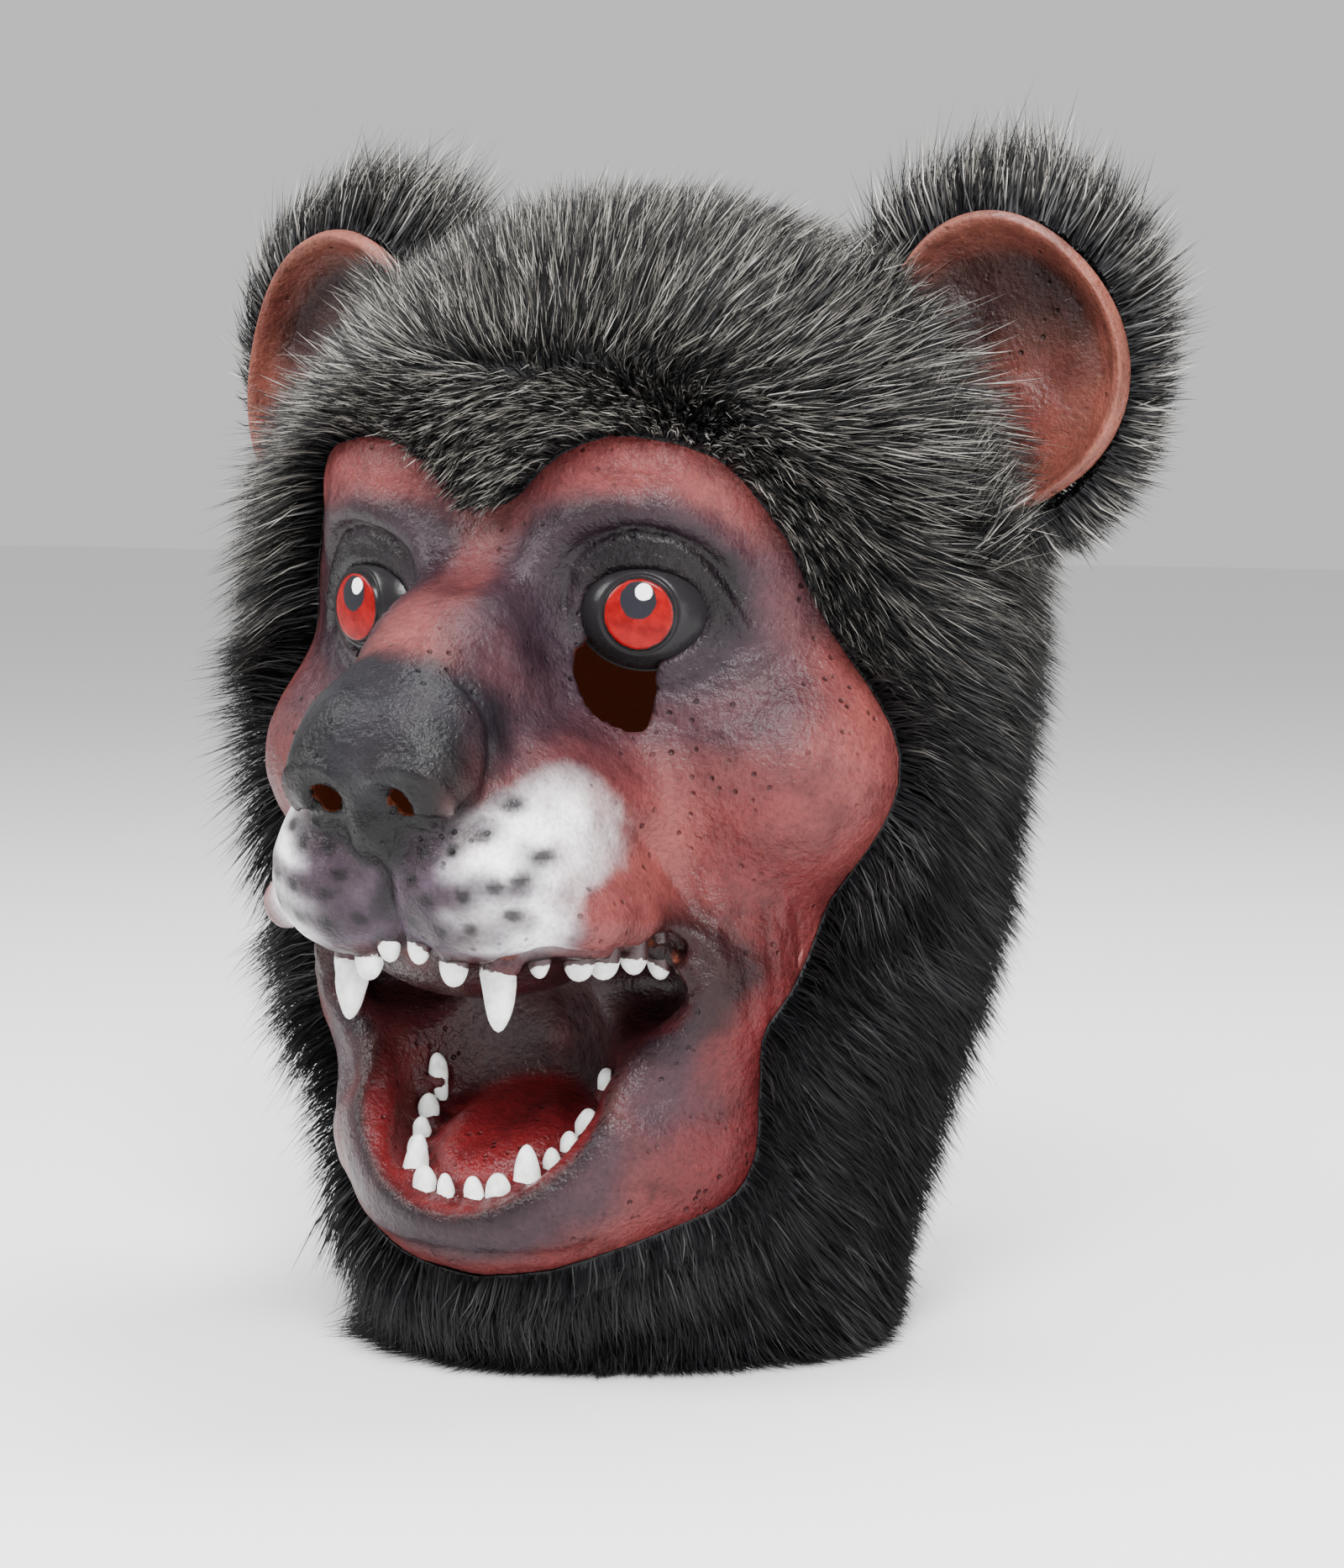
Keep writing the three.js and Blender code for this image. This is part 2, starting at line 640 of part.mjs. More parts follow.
function nostrilHole(side) {
  const { origin, unit } = FRAMES.muzzle;
  const { across, ahead, up } = NOSTRIL_PLACE;
  const place = new THREE.Vector3(
    origin[0] + across * unit[0],
    origin[1] - ahead * unit[1],
    origin[2] + up * unit[2],
  );
  const shape = new THREE.CylinderGeometry(0.5, 0.5, 1, 8);
  shape.rotateX(Math.PI / 2).scale(NOSTRIL_HOLE, MUZZLE_LENGTH * 0.7, 1.2 * NOSTRIL_HOLE);
  shape.rotateX(rad(NOSTRIL_SLOPE)).translate(side * place.x, place.y, place.z);
  return toSolid(shape);
}

// Thickness of a tooth as a share of its width.
const TOOTH_FLATNESS = 0.8;

// How far a tooth stands out of its gum.
function standing(row) {
  return (row.canine ? CANINE_LENGTH : TOOTH_LENGTH) * row.size;
}

// A tooth is a drop along Z with its tip at the origin, flattened in front, and longer if a canine.
function toothSolid(side, sign, row, tip) {
  const length = standing(row) + TOOTH_ROOT;
  const width = TOOTH_WIDTH * row.size * (row.canine ? 1.1 : 1);
  const shape = new THREE.SphereGeometry(0.5, 7, 5);
  const place = shape.getAttribute("position");
  for (let i = 0; i < place.count; i++) {
    const down = 0.5 - place.getY(i);
    const narrow = row.canine ? Math.max(1 - 0.75 * down, 0.25) : 1 - 0.25 * down;
    const thick = TOOTH_FLATNESS * width * narrow;
    place.setXYZ(i, place.getX(i) * width * narrow, place.getY(i) * length, place.getZ(i) * thick);
  }
  shape.translate(0, length / 2, 0).rotateX(Math.PI / 2);
  if (sign < 0) shape.rotateX(Math.PI);
  return toSolid(shape.translate(side * tip.x, tip.y, tip.z));
}

// Tip of a tooth whose root is sunk into the gum above (sign 1) or below (sign -1) the open mouth. The
// gum's face is found from the middle of the opening, which is higher towards its corners.
function toothTip(sign, row) {
  const x = (row.across * MOUTH_WIDTH) / 2;
  const y = FRONT + row.back * MUZZLE_LENGTH;
  const step = 0.25;
  let z = LOWER_LIP_HEIGHT + 0.62 * MOUTH_GAPE;
  const inFlesh = () => headDistance(x, y, z) < 0;
  while (inFlesh() && z < CROWN_HEIGHT) z += step;
  while (!inFlesh() && z > 0 && z < CROWN_HEIGHT) z += sign * step;
  return new THREE.Vector3(x, y, z - sign * standing(row));
}

const latexMaterial = new THREE.MeshStandardMaterial({ color: 0x8a4a3c, roughness: 0.5 });
const eyeMaterial = new THREE.MeshStandardMaterial({ color: 0xb3121a, roughness: 0.15 });
const toothMaterial = new THREE.MeshStandardMaterial({ color: 0xdedcd6, roughness: 0.4 });
const furMaterial = new THREE.MeshStandardMaterial({ color: 0x17161a, roughness: 0.9 });

const mask = new THREE.Group();

// A cut can shave off loose chips or close in a small void: the piece is the cut's main body.
function mainBody(solid) {
  return solid.decompose().reduce((best, body) => (body.volume() > best.volume() ? body : best));
}

function addPiece(name, solid, material) {
  const { vertProperties, numProp, triVerts } = mainBody(solid).getMesh();
  const position = new Float32Array((vertProperties.length / numProp) * 3);
  for (let i = 0; i < position.length / 3; i++) {
    position.set(vertProperties.subarray(i * numProp, i * numProp + 3), i * 3);
  }
  const geometry = new THREE.BufferGeometry();
  geometry.setAttribute("position", new THREE.BufferAttribute(position, 3));
  geometry.setIndex([...triVerts]);
  const mesh = new THREE.Mesh(geometry, material);
  mesh.name = name;
  mask.add(mesh);
}

const sides = [
  { name: "left", side: LEFT },
  { name: "right", side: RIGHT },
];

// Skin with the ears and lids, hollowed, cut level at the neck and pierced for sight and breath.
const ears = sides.map(({ side }) => earSolid(side, 0));
const lids = sides.map(({ side }) => lidSolid(side, 0));
const skin = skinSolid(0);
const openings = sides.flatMap(({ side }) => [sightHole(side), nostrilHole(side)]);
let head = [...ears, ...lids].reduce((whole, piece) => whole.add(piece), skin);
head = head.subtract(skinSolid(-LATEX_WALL));
head = openings.reduce((whole, hole) => whole.subtract(hole), head);
addPiece("latex_head", head.subtract(blockBelow(0)), latexMaterial);

const skinGap = skinSolid(CLEARANCE);
const earGaps = sides.map(({ side }) => earSolid(side, CLEARANCE));
const hood = [skinGap, ...earGaps].reduce((whole, gap) => whole.subtract(gap), furSolid(0));
addPiece("fur_hood", hood.subtract(blockBelow(FUR_HEM_LIFT)), furMaterial);

const hoodGap = skinGap.add(furSolid(CLEARANCE));
sides.forEach(({ name, side }, i) => {
  addPiece(`fur_ear_${name}`, earFurSolid(side).subtract(earGaps[i]).subtract(hoodGap), furMaterial);
});

for (const { name, side } of sides) {
  const seat = skinGap.add(lidSolid(side, CLEARANCE));
  addPiece(`eye_${name}`, ballSolid(side).subtract(seat), eyeMaterial);
}

const rows = [
  { name: "upper", sign: 1, teeth: UPPER_TEETH },
  { name: "lower", sign: -1, teeth: LOWER_TEETH },
];
for (const { name: jaw, sign, teeth } of rows) {
  for (const { name, side } of sides) {
    teeth.forEach((row, i) => {
      const tooth = toothSolid(side, sign, row, toothTip(sign, row)).subtract(skinGap);
      addPiece(`tooth_${jaw}_${name}_${i + 1}`, tooth, toothMaterial);
    });
  }
}

// The origin is under the middle of the whole mask, at the level of its neck rim.
const box = new THREE.Box3().setFromObject(mask);
const middle = box.getCenter(new THREE.Vector3());
mask.position.set(-middle.x, -middle.y, -box.min.z);

export default mask;
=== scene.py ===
"""The looks of the rubber bear mask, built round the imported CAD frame.

The face and mouth are meshed from the same table of rounded forms as the solids, with finer forms
added, and painted by soft zones. The back of the head is a lofted wall, and the fur is strands rooted
on it. Lengths are millimetres in the head's own axes until a mesh is made, where they turn to metres.
"""
import math
from functools import cache

import bmesh
import bpy
import numpy as np
import openvdb
from mathutils import Matrix, Vector, kdtree


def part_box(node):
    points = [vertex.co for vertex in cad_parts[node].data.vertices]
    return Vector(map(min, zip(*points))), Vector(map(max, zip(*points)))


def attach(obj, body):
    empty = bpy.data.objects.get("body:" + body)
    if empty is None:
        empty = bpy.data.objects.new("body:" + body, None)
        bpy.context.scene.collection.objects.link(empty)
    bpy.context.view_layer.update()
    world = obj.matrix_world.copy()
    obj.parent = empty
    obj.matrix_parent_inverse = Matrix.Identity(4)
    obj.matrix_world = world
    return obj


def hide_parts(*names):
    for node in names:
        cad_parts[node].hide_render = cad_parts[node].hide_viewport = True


MM = 0.001
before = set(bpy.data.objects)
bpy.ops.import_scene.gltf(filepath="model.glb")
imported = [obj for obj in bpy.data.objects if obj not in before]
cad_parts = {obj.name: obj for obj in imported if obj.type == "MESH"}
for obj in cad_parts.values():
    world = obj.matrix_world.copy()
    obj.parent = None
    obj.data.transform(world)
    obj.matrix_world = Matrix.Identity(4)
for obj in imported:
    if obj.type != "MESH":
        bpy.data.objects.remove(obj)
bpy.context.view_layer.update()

# Driving sizes, as in the solids, but for the sight hole, which is ragged and so cut a little larger
HEAD_WIDTH = 194.0
HEAD_DEPTH = 184.0
CROWN_HEIGHT = 309.0
NECK_WIDTH = 132.0
NECK_DEPTH = 142.0
HEAD_SET_BACK = 12.0
LATEX_WALL = 2.5
ROUNDING = 16.0
MUZZLE_WIDTH = 94.0
MUZZLE_LENGTH = 62.0
MUZZLE_HEIGHT = 150.0
MUZZLE_HALF_DEPTH = 35.0
MOUTH_WIDTH = 106.0
MOUTH_GAPE = 64.0
LOWER_LIP_HEIGHT = 49.0
EYE_SPACING = 86.0
EYE_HEIGHT = 206.0
EYE_WIDTH = 41.0
EYE_OPENING = 31.0
LID_THICKNESS = 7.0
LID_SET_BACK = 11.2
LID_TURN = 20.0
SIGHT_HOLE_WIDTH = 22.0
SIGHT_HOLE_HEIGHT = 24.0
NOSTRIL_HOLE = 9.0
EAR_WIDTH = 74.0
EAR_HEIGHT = 84.0
EAR_THICKNESS = 4.5
EAR_DISH = 12.0
EAR_SPREAD = 214.0
EAR_LEVEL = 270.0
EAR_TURN = 8.0
EAR_AHEAD = 5.0
FUR_DEPTH = 20.0
FRONT = HEAD_SET_BACK - HEAD_DEPTH / 2

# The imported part's origin lies under the middle of its box, this far behind the head's own axis.
AXIS_OFFSET = 6.4

UNITS = {
    "skull": ((0, 0, 0), (HEAD_WIDTH / 2, HEAD_DEPTH / 2, CROWN_HEIGHT)),
    "neck": ((0, HEAD_SET_BACK, 0), (NECK_WIDTH / 2, NECK_DEPTH / 2, CROWN_HEIGHT)),
    "muzzle": ((0, FRONT, MUZZLE_HEIGHT), (MUZZLE_WIDTH / 2, MUZZLE_LENGTH, MUZZLE_HALF_DEPTH)),
    "mouth": ((0, FRONT, LOWER_LIP_HEIGHT), (MOUTH_WIDTH / 2, MUZZLE_LENGTH, MOUTH_GAPE)),
    "eye": ((EYE_SPACING / 2, FRONT, EYE_HEIGHT), (EYE_WIDTH / 2, EYE_WIDTH / 2, EYE_WIDTH / 2)),
}

# name, frame, sign, place and radii as shares of the frame's units, pitch and yaw in degrees, blend
FORMS = [
    ("cranium", "skull", 1, (0, 0.13, 0.69), (1, 1, 0.31), 0, 0, 0),
    ("midhead", "skull", 1, (0, 0.15, 0.42), (0.89, 0.93, 0.29), 0, 0, 2.5),
    ("neck", "neck", 1, (0, 0, 0.06), (1, 1, 0.29), 0, 0, 2.5),
    ("brow", "skull", 1, (0.36, -0.55, 0.78), (0.3, 0.27, 0.07), 0, 0, 0.9),
    ("cheek", "skull", 1, (0.67, -0.35, 0.525), (0.34, 0.34, 0.1), 0, 0, 1),
    ("jowl", "skull", 1, (0.52, -0.45, 0.34), (0.23, 0.33, 0.11), 0, 0, 1),
    ("core", "muzzle", 1, (0, -0.03, 0.06), (1, 0.74, 0.97), 0, 0, 1),
    ("bridge", "muzzle", 1, (0, -0.13, 1.37), (0.51, 0.68, 0.54), 24, 0, 1),
    ("lip", "muzzle", 1, (0.81, 0.03, -0.63), (0.32, 0.55, 0.37), 0, 16, 0.6),
    ("pad", "muzzle", 1, (0.4, -0.39, -0.31), (0.55, 0.44, 0.69), 0, 0, 0.55),
    ("jaw", "mouth", 1, (0, 0.61, 0.2), (1.21, 0.89, 0.62), 0, 0, 1),
    ("chin", "mouth", 1, (0, 0.16, -0.03), (0.72, 0.47, 0.31), 0, 0, 0.75),
    ("nose", "muzzle", 1, (0, -0.62, 0.68), (0.58, 0.37, 0.6), 0, 0, 0.4),
    ("wing", "muzzle", 1, (0.32, -0.76, 0.46), (0.26, 0.21, 0.37), 0, 0, 0.3),
    ("septum", "muzzle", 1, (0, -0.77, 0.2), (0.19, 0.15, 0.43), 0, 0, 0.25),
    ("groove", "muzzle", -1, (0, -0.9, -0.51), (0.05, 0.16, 0.43), 0, 0, 0.25),
    ("socket", "eye", -1, (0.1, -0.1, 0.05), (1.22, 0.78, 0.98), 0, 15, 0.6),
    ("furrow", "skull", -1, (0, -0.98, 0.79), (0.09, 0.13, 0.08), 0, 0, 1),
    ("upper mouth", "mouth", -1, (0, -0.2, 0.88), (0.87, 0.65, 0.2), 4, 0, 0.4),
    ("corner", "mouth", -1, (0.68, 0.13, 0.86), (0.38, 0.42, 0.19), 0, 0, 0.4),
    ("lower mouth", "mouth", -1, (0, -0.1, 0.52), (0.7, 0.72, 0.52), 14, 0, 0.5),
    ("palate", "mouth", 1, (0, 0.03, 1.14), (0.66, 0.55, 0.3), 0, 0, 0.4),
    ("tongue", "mouth", 1, (0, 0.26, 0.17), (0.42, 0.44, 0.2), 22, 0, 0.4),
    ("tongue trough", "mouth", -1, (0, 0.16, 0.45), (0.13, 0.45, 0.14), 22, 0, 0.6),
]
MOUTH_CUTS = ("upper mouth", "corner", "lower mouth")
MOUTH_FORMS = MOUTH_CUTS + ("palate", "tongue", "tongue trough")

# Where the face's bare skin meets the fur: angle about the head's axis and share of the crown's height
FACE_EDGE = [
    (0, 0.75), (7, 0.777), (15, 0.802), (24, 0.817), (32, 0.811), (40, 0.788), (47, 0.755),
    (50, 0.721), (54, 0.681), (58, 0.653), (62, 0.607), (66.5, 0.572), (67.5, 0.539), (65, 0.493),
    (61, 0.459), (60, 0.422), (57, 0.375), (52, 0.343), (45, 0.305), (47, 0.25), (47, 0.203),
    (44, 0.163), (33, 0.141), (21, 0.118), (13, 0.103), (0, 0.09),
]


# ---- The field of the head ----

SLOPE_STEP = 0.5
SEATING_ROUNDS = 6
NOISE_MIX = (374761393, 668265263, 2147483647, 1274126177)


def placed(form):
    """A form in millimetres and radians."""
    name, frame_name, sign, place, radii, pitch, yaw, blend = form
    origin, size = UNITS[frame_name]
    centre = [o + p * s for o, p, s in zip(origin, place, size)]
    radii = [r * s for r, s in zip(radii, size)]
    return name, sign, centre, radii, math.radians(pitch), math.radians(yaw), blend * ROUNDING


PLACED = [placed(form) for form in FORMS]


def form_distance(form, x, y, z):
    """Distance to one rounded form, negative inside."""
    _, _, centre, (rx, ry, rz), pitch, yaw, _ = form
    px, py, pz = x - centre[0], y - centre[1], z - centre[2]
    if yaw:
        c, s = math.cos(yaw), math.sin(yaw)
        px, py = c * px + s * py, c * py - s * px
    if pitch:
        c, s = math.cos(pitch), math.sin(pitch)
        py, pz = c * py + s * pz, c * pz - s * py
    scaled = np.sqrt((px / rx) ** 2 + (py / ry) ** 2 + (pz / rz) ** 2)
    slope = np.sqrt((px / rx**2) ** 2 + (py / ry**2) ** 2 + (pz / rz**2) ** 2)
    return scaled * (scaled - 1) / np.maximum(slope, 1e-9)


def soft_min(a, b, width):
    """The lower of two distances, rounded off over a width where they meet."""
    if width <= 0:
        return np.minimum(a, b)
    h = np.maximum(width - np.abs(a - b), 0) / width
    return np.minimum(a, b) - h * h * width / 4


def head_distance(x, y, z, leave_out=()):
    """Distance to the head's skin, negative inside; the head is the same on both sides."""
    x = np.abs(x)
    d = None
    for form in PLACED:
        name, sign, blend = form[0], form[1], form[6]
        if name in leave_out:
            continue
        e = form_distance(form, x, y, z)
        if d is None:
            d = e
        elif sign > 0:
            d = soft_min(d, e, blend)
        else:
            d = -soft_min(-d, e, blend)
    return d


def mouth_distance(x, y, z):
    """Distance to the space that the mouth cuts out, negative inside it."""
    x = np.abs(x)
    d = None
    for form in PLACED:
        if form[0] in MOUTH_CUTS:
            e = form_distance(form, x, y, z)
            d = e if d is None else soft_min(d, e, form[6])
    return d


def at(points):
    """The x, y and z of points, apart."""
    return points[..., 0], points[..., 1], points[..., 2]


def slope_of(points):
    """Slope of the head's distance, which points outward."""
    axes = np.eye(3) * SLOPE_STEP
    parts = [head_distance(*at(points + a)) - head_distance(*at(points - a)) for a in axes]
    return np.stack(parts, -1) / (2 * SLOPE_STEP)


def seated(points, lift=0.0):
    """Points moved on to the skin, or to a level above it."""
    points = np.array(points, float)
    for _ in range(SEATING_ROUNDS):
        g = slope_of(points)
        d = head_distance(*at(points)) - lift
        points = points - g * (d / np.maximum((g * g).sum(-1), 1e-6))[..., None]
    return points


def unit(v):
    return v / np.maximum(np.linalg.norm(v, axis=-1, keepdims=True), 1e-9)


def smooth(value, start, end):
    """0 at start to 1 at end, with soft ends; start may be the larger."""
    t = np.clip((value - start) / (end - start), 0, 1)
    return t * t * (3 - 2 * t)


def value_noise(points, cell, seed):
    """Smooth noise from -1 to 1 with one hump a cell."""
    mix_x, mix_y, mix_z, mix_seed = NOISE_MIX
    p = np.asarray(points, float) / cell
    base = np.floor(p).astype(np.int64)
    f = p - base
    f = f * f * (3 - 2 * f)
    total = 0
    for corner in range(8):
        o = np.array([corner & 1, corner >> 1 & 1, corner >> 2 & 1])
        x, y, z = at(base + o)
        h = x * mix_x + y * mix_y + z * mix_z + seed * mix_seed
        h = (h ^ (h >> 13)) * mix_seed
        h = ((h ^ (h >> 16)) & 0xFFFF) / 32767.5 - 1
        total = total + h * np.prod(np.where(o == 1, f, 1 - f), axis=-1)
    return total


# ---- Finer forms of the face: tubes laid along lines on the skin ----

LID_PLACE = np.array([EYE_SPACING / 2, FRONT + LID_SET_BACK, EYE_HEIGHT])

# The lid ring's line, as shares of the eye's width and opening
LID_RING_FIT = (0.93, 0.94)


def turned(points, degrees):
    """Points turned about the vertical axis."""
    c, s = math.cos(math.radians(degrees)), math.sin(math.radians(degrees))
    points = np.asarray(points, float)
    x, y, z = at(points)
    return np.stack([c * x - s * y, s * x + c * y, z], -1)


def by_the_eye(flat):
    """Points of the eye's own plane, (across, up), bent round the ball."""
    flat = np.asarray(flat, float)
    across, up = flat[:, 0], flat[:, 1]
    local = np.stack([across, 0.5 * across**2 / EYE_WIDTH, up], -1)
    return turned(local, LID_TURN) + LID_PLACE


def lid_ring():
    """Line and radius of the lids' rim, thickest at the top."""
    angle = np.linspace(0, 2 * np.pi, 37)
    across, up = LID_RING_FIT
    flat = np.stack([across * EYE_WIDTH / 2 * np.cos(angle), up * EYE_OPENING / 2 * np.sin(angle)], -1)
    return by_the_eye(flat), LID_THICKNESS / 2 * (0.8 + 0.2 * np.sin(angle))


def curve(points, count=14):
    """A smooth line through a few points."""
    points = np.asarray(points, float)
    ends = np.concatenate([[2 * points[0] - points[1]], points, [2 * points[-1] - points[-2]]])
    out = []
    for i in range(len(points) - 1):
        a, b, c, d = ends[i:i + 4]
        for t in np.linspace(0, 1, count, endpoint=False):
            out.append(0.5 * (2 * b + (c - a) * t + (2 * a - 5 * b + 4 * c - d) * t**2
                              + (3 * b - a - 3 * c + d) * t**3))
    out.append(points[-1])
    return np.array(out)


# name, sign, points near the skin, radius, how far the line lies above the skin, blend
CREASES = [
    ("brow ridge", 1, [(20, -84, 223), (27, -79, 229), (42, -74, 233), (56, -67, 230), (66, -57, 220)],
     4.2, -1.6, 4),
    ("brow groove", -1,
     [(24, -76, 220), (34, -74, 227), (46, -71, 228.5), (58, -63, 223), (66, -56, 211)], 1.1, 0.3, 1.5),
    ("bag", -1, [(30, -72, 190), (42, -68, 186), (56, -62, 189), (66, -57, 197)], 1.0, 0.3, 1.5),
    ("bag low", -1, [(44, -67, 179), (56, -64, 178), (70, -56, 183), (79, -47, 192)], 0.9, 0.3, 2),
    ("bag mid", -1, [(58, -62, 184), (68, -57, 187), (76, -50, 195)], 0.8, 0.3, 2),
    ("crow low", -1, [(64, -58, 200), (72, -52, 196), (80, -46, 196)], 0.8, 0.3, 1.5),
    ("crow high", -1, [(66, -55, 206), (74, -50, 204), (80, -44, 206)], 0.7, 0.3, 1.5),
    ("cheek fold", -1, [(47, -90, 160), (54, -78, 150), (58, -70, 138), (60, -66, 127)], 1.2, 0.4, 4),
    ("nose fold", -1,
     [(17, -118, 193), (25, -117, 182), (29, -118, 170), (27, -124, 158), (18, -130, 152)], 1.3, 0.5, 2.5),
    ("bridge fold a", -1, [(14, -104, 212), (20, -98, 204), (26, -92, 199)], 0.9, 0.4, 2),
    ("bridge fold b", -1, [(13, -112, 203), (20, -106, 197), (27, -100, 193)], 0.8, 0.4, 2),
    ("furrow a", -1, [(5, -92, 238), (6, -96, 228), (5, -100, 218)], 1.0, 0.3, 2),
    ("furrow b", -1, [(12, -88, 236), (13, -92, 226), (16, -92, 218)], 0.8, 0.3, 2),
    ("corner ridge", 1,
     [(46, -92, 124), (54, -80, 126), (60, -69, 122), (62, -62, 114), (60, -60, 106)], 2.4, -0.8, 2),
    ("corner groove", -1,
     [(50, -90, 129), (58, -75, 131), (65, -63, 125), (68, -58, 113), (66, -56, 102)], 1.2, 0.4, 2),
    ("corner line", -1, [(72, -52, 122), (73, -49, 110), (70, -48, 98)], 0.9, 0.4, 2),
    ("corner line b", -1, [(76, -42, 126), (77, -38, 114), (74, -40, 104)], 0.8, 0.3, 2),
    ("lower lip", 1, [(0, -99, 49), (16, -96, 51), (29, -86, 59), (38, -72, 72), (46, -58, 90)],
     3.4, -1.2, 2.5),
    ("corner web", 1, [(40, -74, 76), (47, -68, 88), (52, -64, 98), (55, -62, 107)], 5.5, -2.0, 4),
    ("chin crease", -1, [(0, -94, 37), (16, -90, 37), (30, -78, 43)], 1.2, 0.5, 4),
]

# The fold over the upper lid, the one under the lower lid, and the eye's middle that both go round.
# Grooves run along each fold, at these shares of its distance from the middle and with these radii
# for a fold whose own radius is 2.
UPPER_FOLD = [(26, -75, 206), (26.7, -73.5, 213.9), (29, -73, 219), (35, -72, 223.5), (43, -70.5, 225.5),
              (52, -66, 223), (58, -61.6, 217), (63, -58.5, 209), (68, -54, 199)]
LOWER_FOLD = [(26, -75, 203), (28, -73, 196), (36, -70, 190), (46, -67, 188), (56, -62, 191),
              (62, -59, 197)]
EYE_MIDDLE = np.array([45.0, -68.0, 206.5])
FOLD_GROOVES = [(0.87, 1.3), (1.13, 1.1)]

# Line under the upper lip that cuts it free of the palate
LIP_UNDERSIDE = [(29, -110, 114), (38, -106, 115), (47, -98, 116), (50, -84, 116), (50, -72, 113)]

# Nostril: its hole, the wing's rim over it, the slit that runs back from it, the bore's slope in
# degrees, and the bore's width and height as shares of the solids' hole
NOSTRIL = (11.5, -136, 160)
NOSTRIL_RIM = [(5, -139, 166), (12, -138, 169), (19, -134, 166), (22, -131, 159), (19, -131, 153)]
NOSTRIL_SLIT = [(13, -135, 158), (18, -132, 156), (22, -129, 158), (24, -126, 163)]
NOSTRIL_SLOPE = 12
NOSTRIL_FIT = (0.75, 0.85)

# How far the sight hole lies off the solids' own
SIGHT_SHIFT = np.array([-1.5, 0, 4.5])


def tube_distance(line, radius, x, y, z):
    """Distance to a rounded line whose radius may change along it."""
    radius = np.broadcast_to(radius, len(line))
    best = None
    for a, b, ra, rb in zip(line[:-1], line[1:], radius[:-1], radius[1:]):
        ab = b - a
        along = ((x - a[0]) * ab[0] + (y - a[1]) * ab[1] + (z - a[2]) * ab[2]) / max(ab @ ab, 1e-9)
        along = np.clip(along, 0, 1)
        d = np.sqrt((x - a[0] - along * ab[0]) ** 2 + (y - a[1] - along * ab[1]) ** 2
                    + (z - a[2] - along * ab[2]) ** 2) - (ra + along * (rb - ra))
        best = d if best is None else np.minimum(best, d)
    return best


# ---- Teeth: they stand where the solids' tips are ----

# How far a tooth stands out of its gum
TOOTH_STAND = {("upper", True): 17.5, ("upper", False): 8.0, ("lower", True): 13.0, ("lower", False): 8.0}

# How long a dressed tooth is, with its root
TOOTH_REACH = {("upper", True): 24.0, ("upper", False): 14.0, ("lower", True): 20.0, ("lower", False): 13.0}

# Radius of the gum round a canine and round another tooth
GUM_RADIUS = {True: 4.6, False: 3.5}

# How much higher a dressed tooth's tip lies than its solid's
TOOTH_SHIFT = {
    ("upper", "front"): -1.2, ("upper", "canine"): -0.5, ("upper", "back"): -0.5,
    ("lower", "front"): 2.2, ("lower", "canine"): 1.0, ("lower", "back"): 2.5,
}

# Width of a dressed tooth over its solid's
TOOTH_SWELL = {
    ("upper", "front"): 1.12, ("upper", "canine"): 1.68, ("upper", "back"): 1.36,
    ("lower", "front"): 1.22, ("lower", "canine"): 2.5, ("lower", "back"): 1.42,
}


def teeth_places():
    """Tip, root direction and sizes of each tooth, in millimetres in the head's axes."""
    out = []
    for name in sorted(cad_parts):
        if not name.startswith("tooth_"):
            continue
        low, high = (np.array(v) / MM - [0, AXIS_OFFSET, 0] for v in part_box(name))
        _, jaw, _, number = name.split("_")
        number = int(number)
        sign = 1 if jaw == "upper" else -1
        middle = (low + high) / 2
        tip = np.array([middle[0], middle[1], low[2] if sign > 0 else high[2]])
        canine = number == 3
        place = "canine" if canine else "front" if number < 3 else "back"
        tip[2] += TOOTH_SHIFT[jaw, place]
        stand = np.array([0, 0, sign * TOOTH_STAND[jaw, canine]])
        width = max(high[0] - low[0], high[1] - low[1])
        out.append({"jaw": jaw, "sign": sign, "place": place, "tip": tip, "canine": canine,
                    "gum": tip + stand, "width": width})
    return out


TEETH = teeth_places()


# ---- The face's mesh ----

# Grid step, and the wall left behind the deepest crease
FACE_VOXEL = 1.65
THINNEST = 1.5

# Where the face's mesh ends under the pile, and how far its grid reaches in front and across
FACE_BACK = -14.0
FACE_LOW = 16.0
FACE_HIGH = 264.0
GRID_FRONT = -148.0
GRID_WIDTH = 104.0


# The middle inside the head that rays start from, this far behind the head's front
HEART_DEPTH = 80.04
HEART = np.array([0, FRONT + HEART_DEPTH, LOWER_LIP_HEIGHT + 0.67 * MOUTH_GAPE])

# How far a hole's cut reaches to either side of its place
BORE_REACH = 14


def sight_aim():
    """The sight hole's direction from the heart, as in the solids."""
    across = EYE_SPACING / 2 - 0.1 * EYE_WIDTH
    level = EYE_HEIGHT - EYE_OPENING / 2 - LID_THICKNESS / 2 + 0.05 * SIGHT_HOLE_HEIGHT
    return unit(np.array([across, FRONT + 0.2 * EYE_WIDTH, level]) - HEART)


def bore(x, y, z, aim, place, width, height):
    """Distance-like measure of a hand-cut hole along aim, below 0 inside."""
    side = unit(np.cross(aim, [0, 0, 1.0]))
    up = np.cross(side, aim)
    px, py, pz = x - place[0], y - place[1], z - place[2]
    u, v, along = (px * a[0] + py * a[1] + pz * a[2] for a in (side, up, aim))
    angle = np.arctan2(v, u)
    ragged = 1 + 0.06 * np.sin(3 * angle + 1) + 0.04 * np.sin(5 * angle)
    radial = (np.sqrt((u / (width / 2)) ** 2 + (v / (height / 2)) ** 2) - ragged) * width / 2
    return np.maximum(radial, np.abs(along) - BORE_REACH)


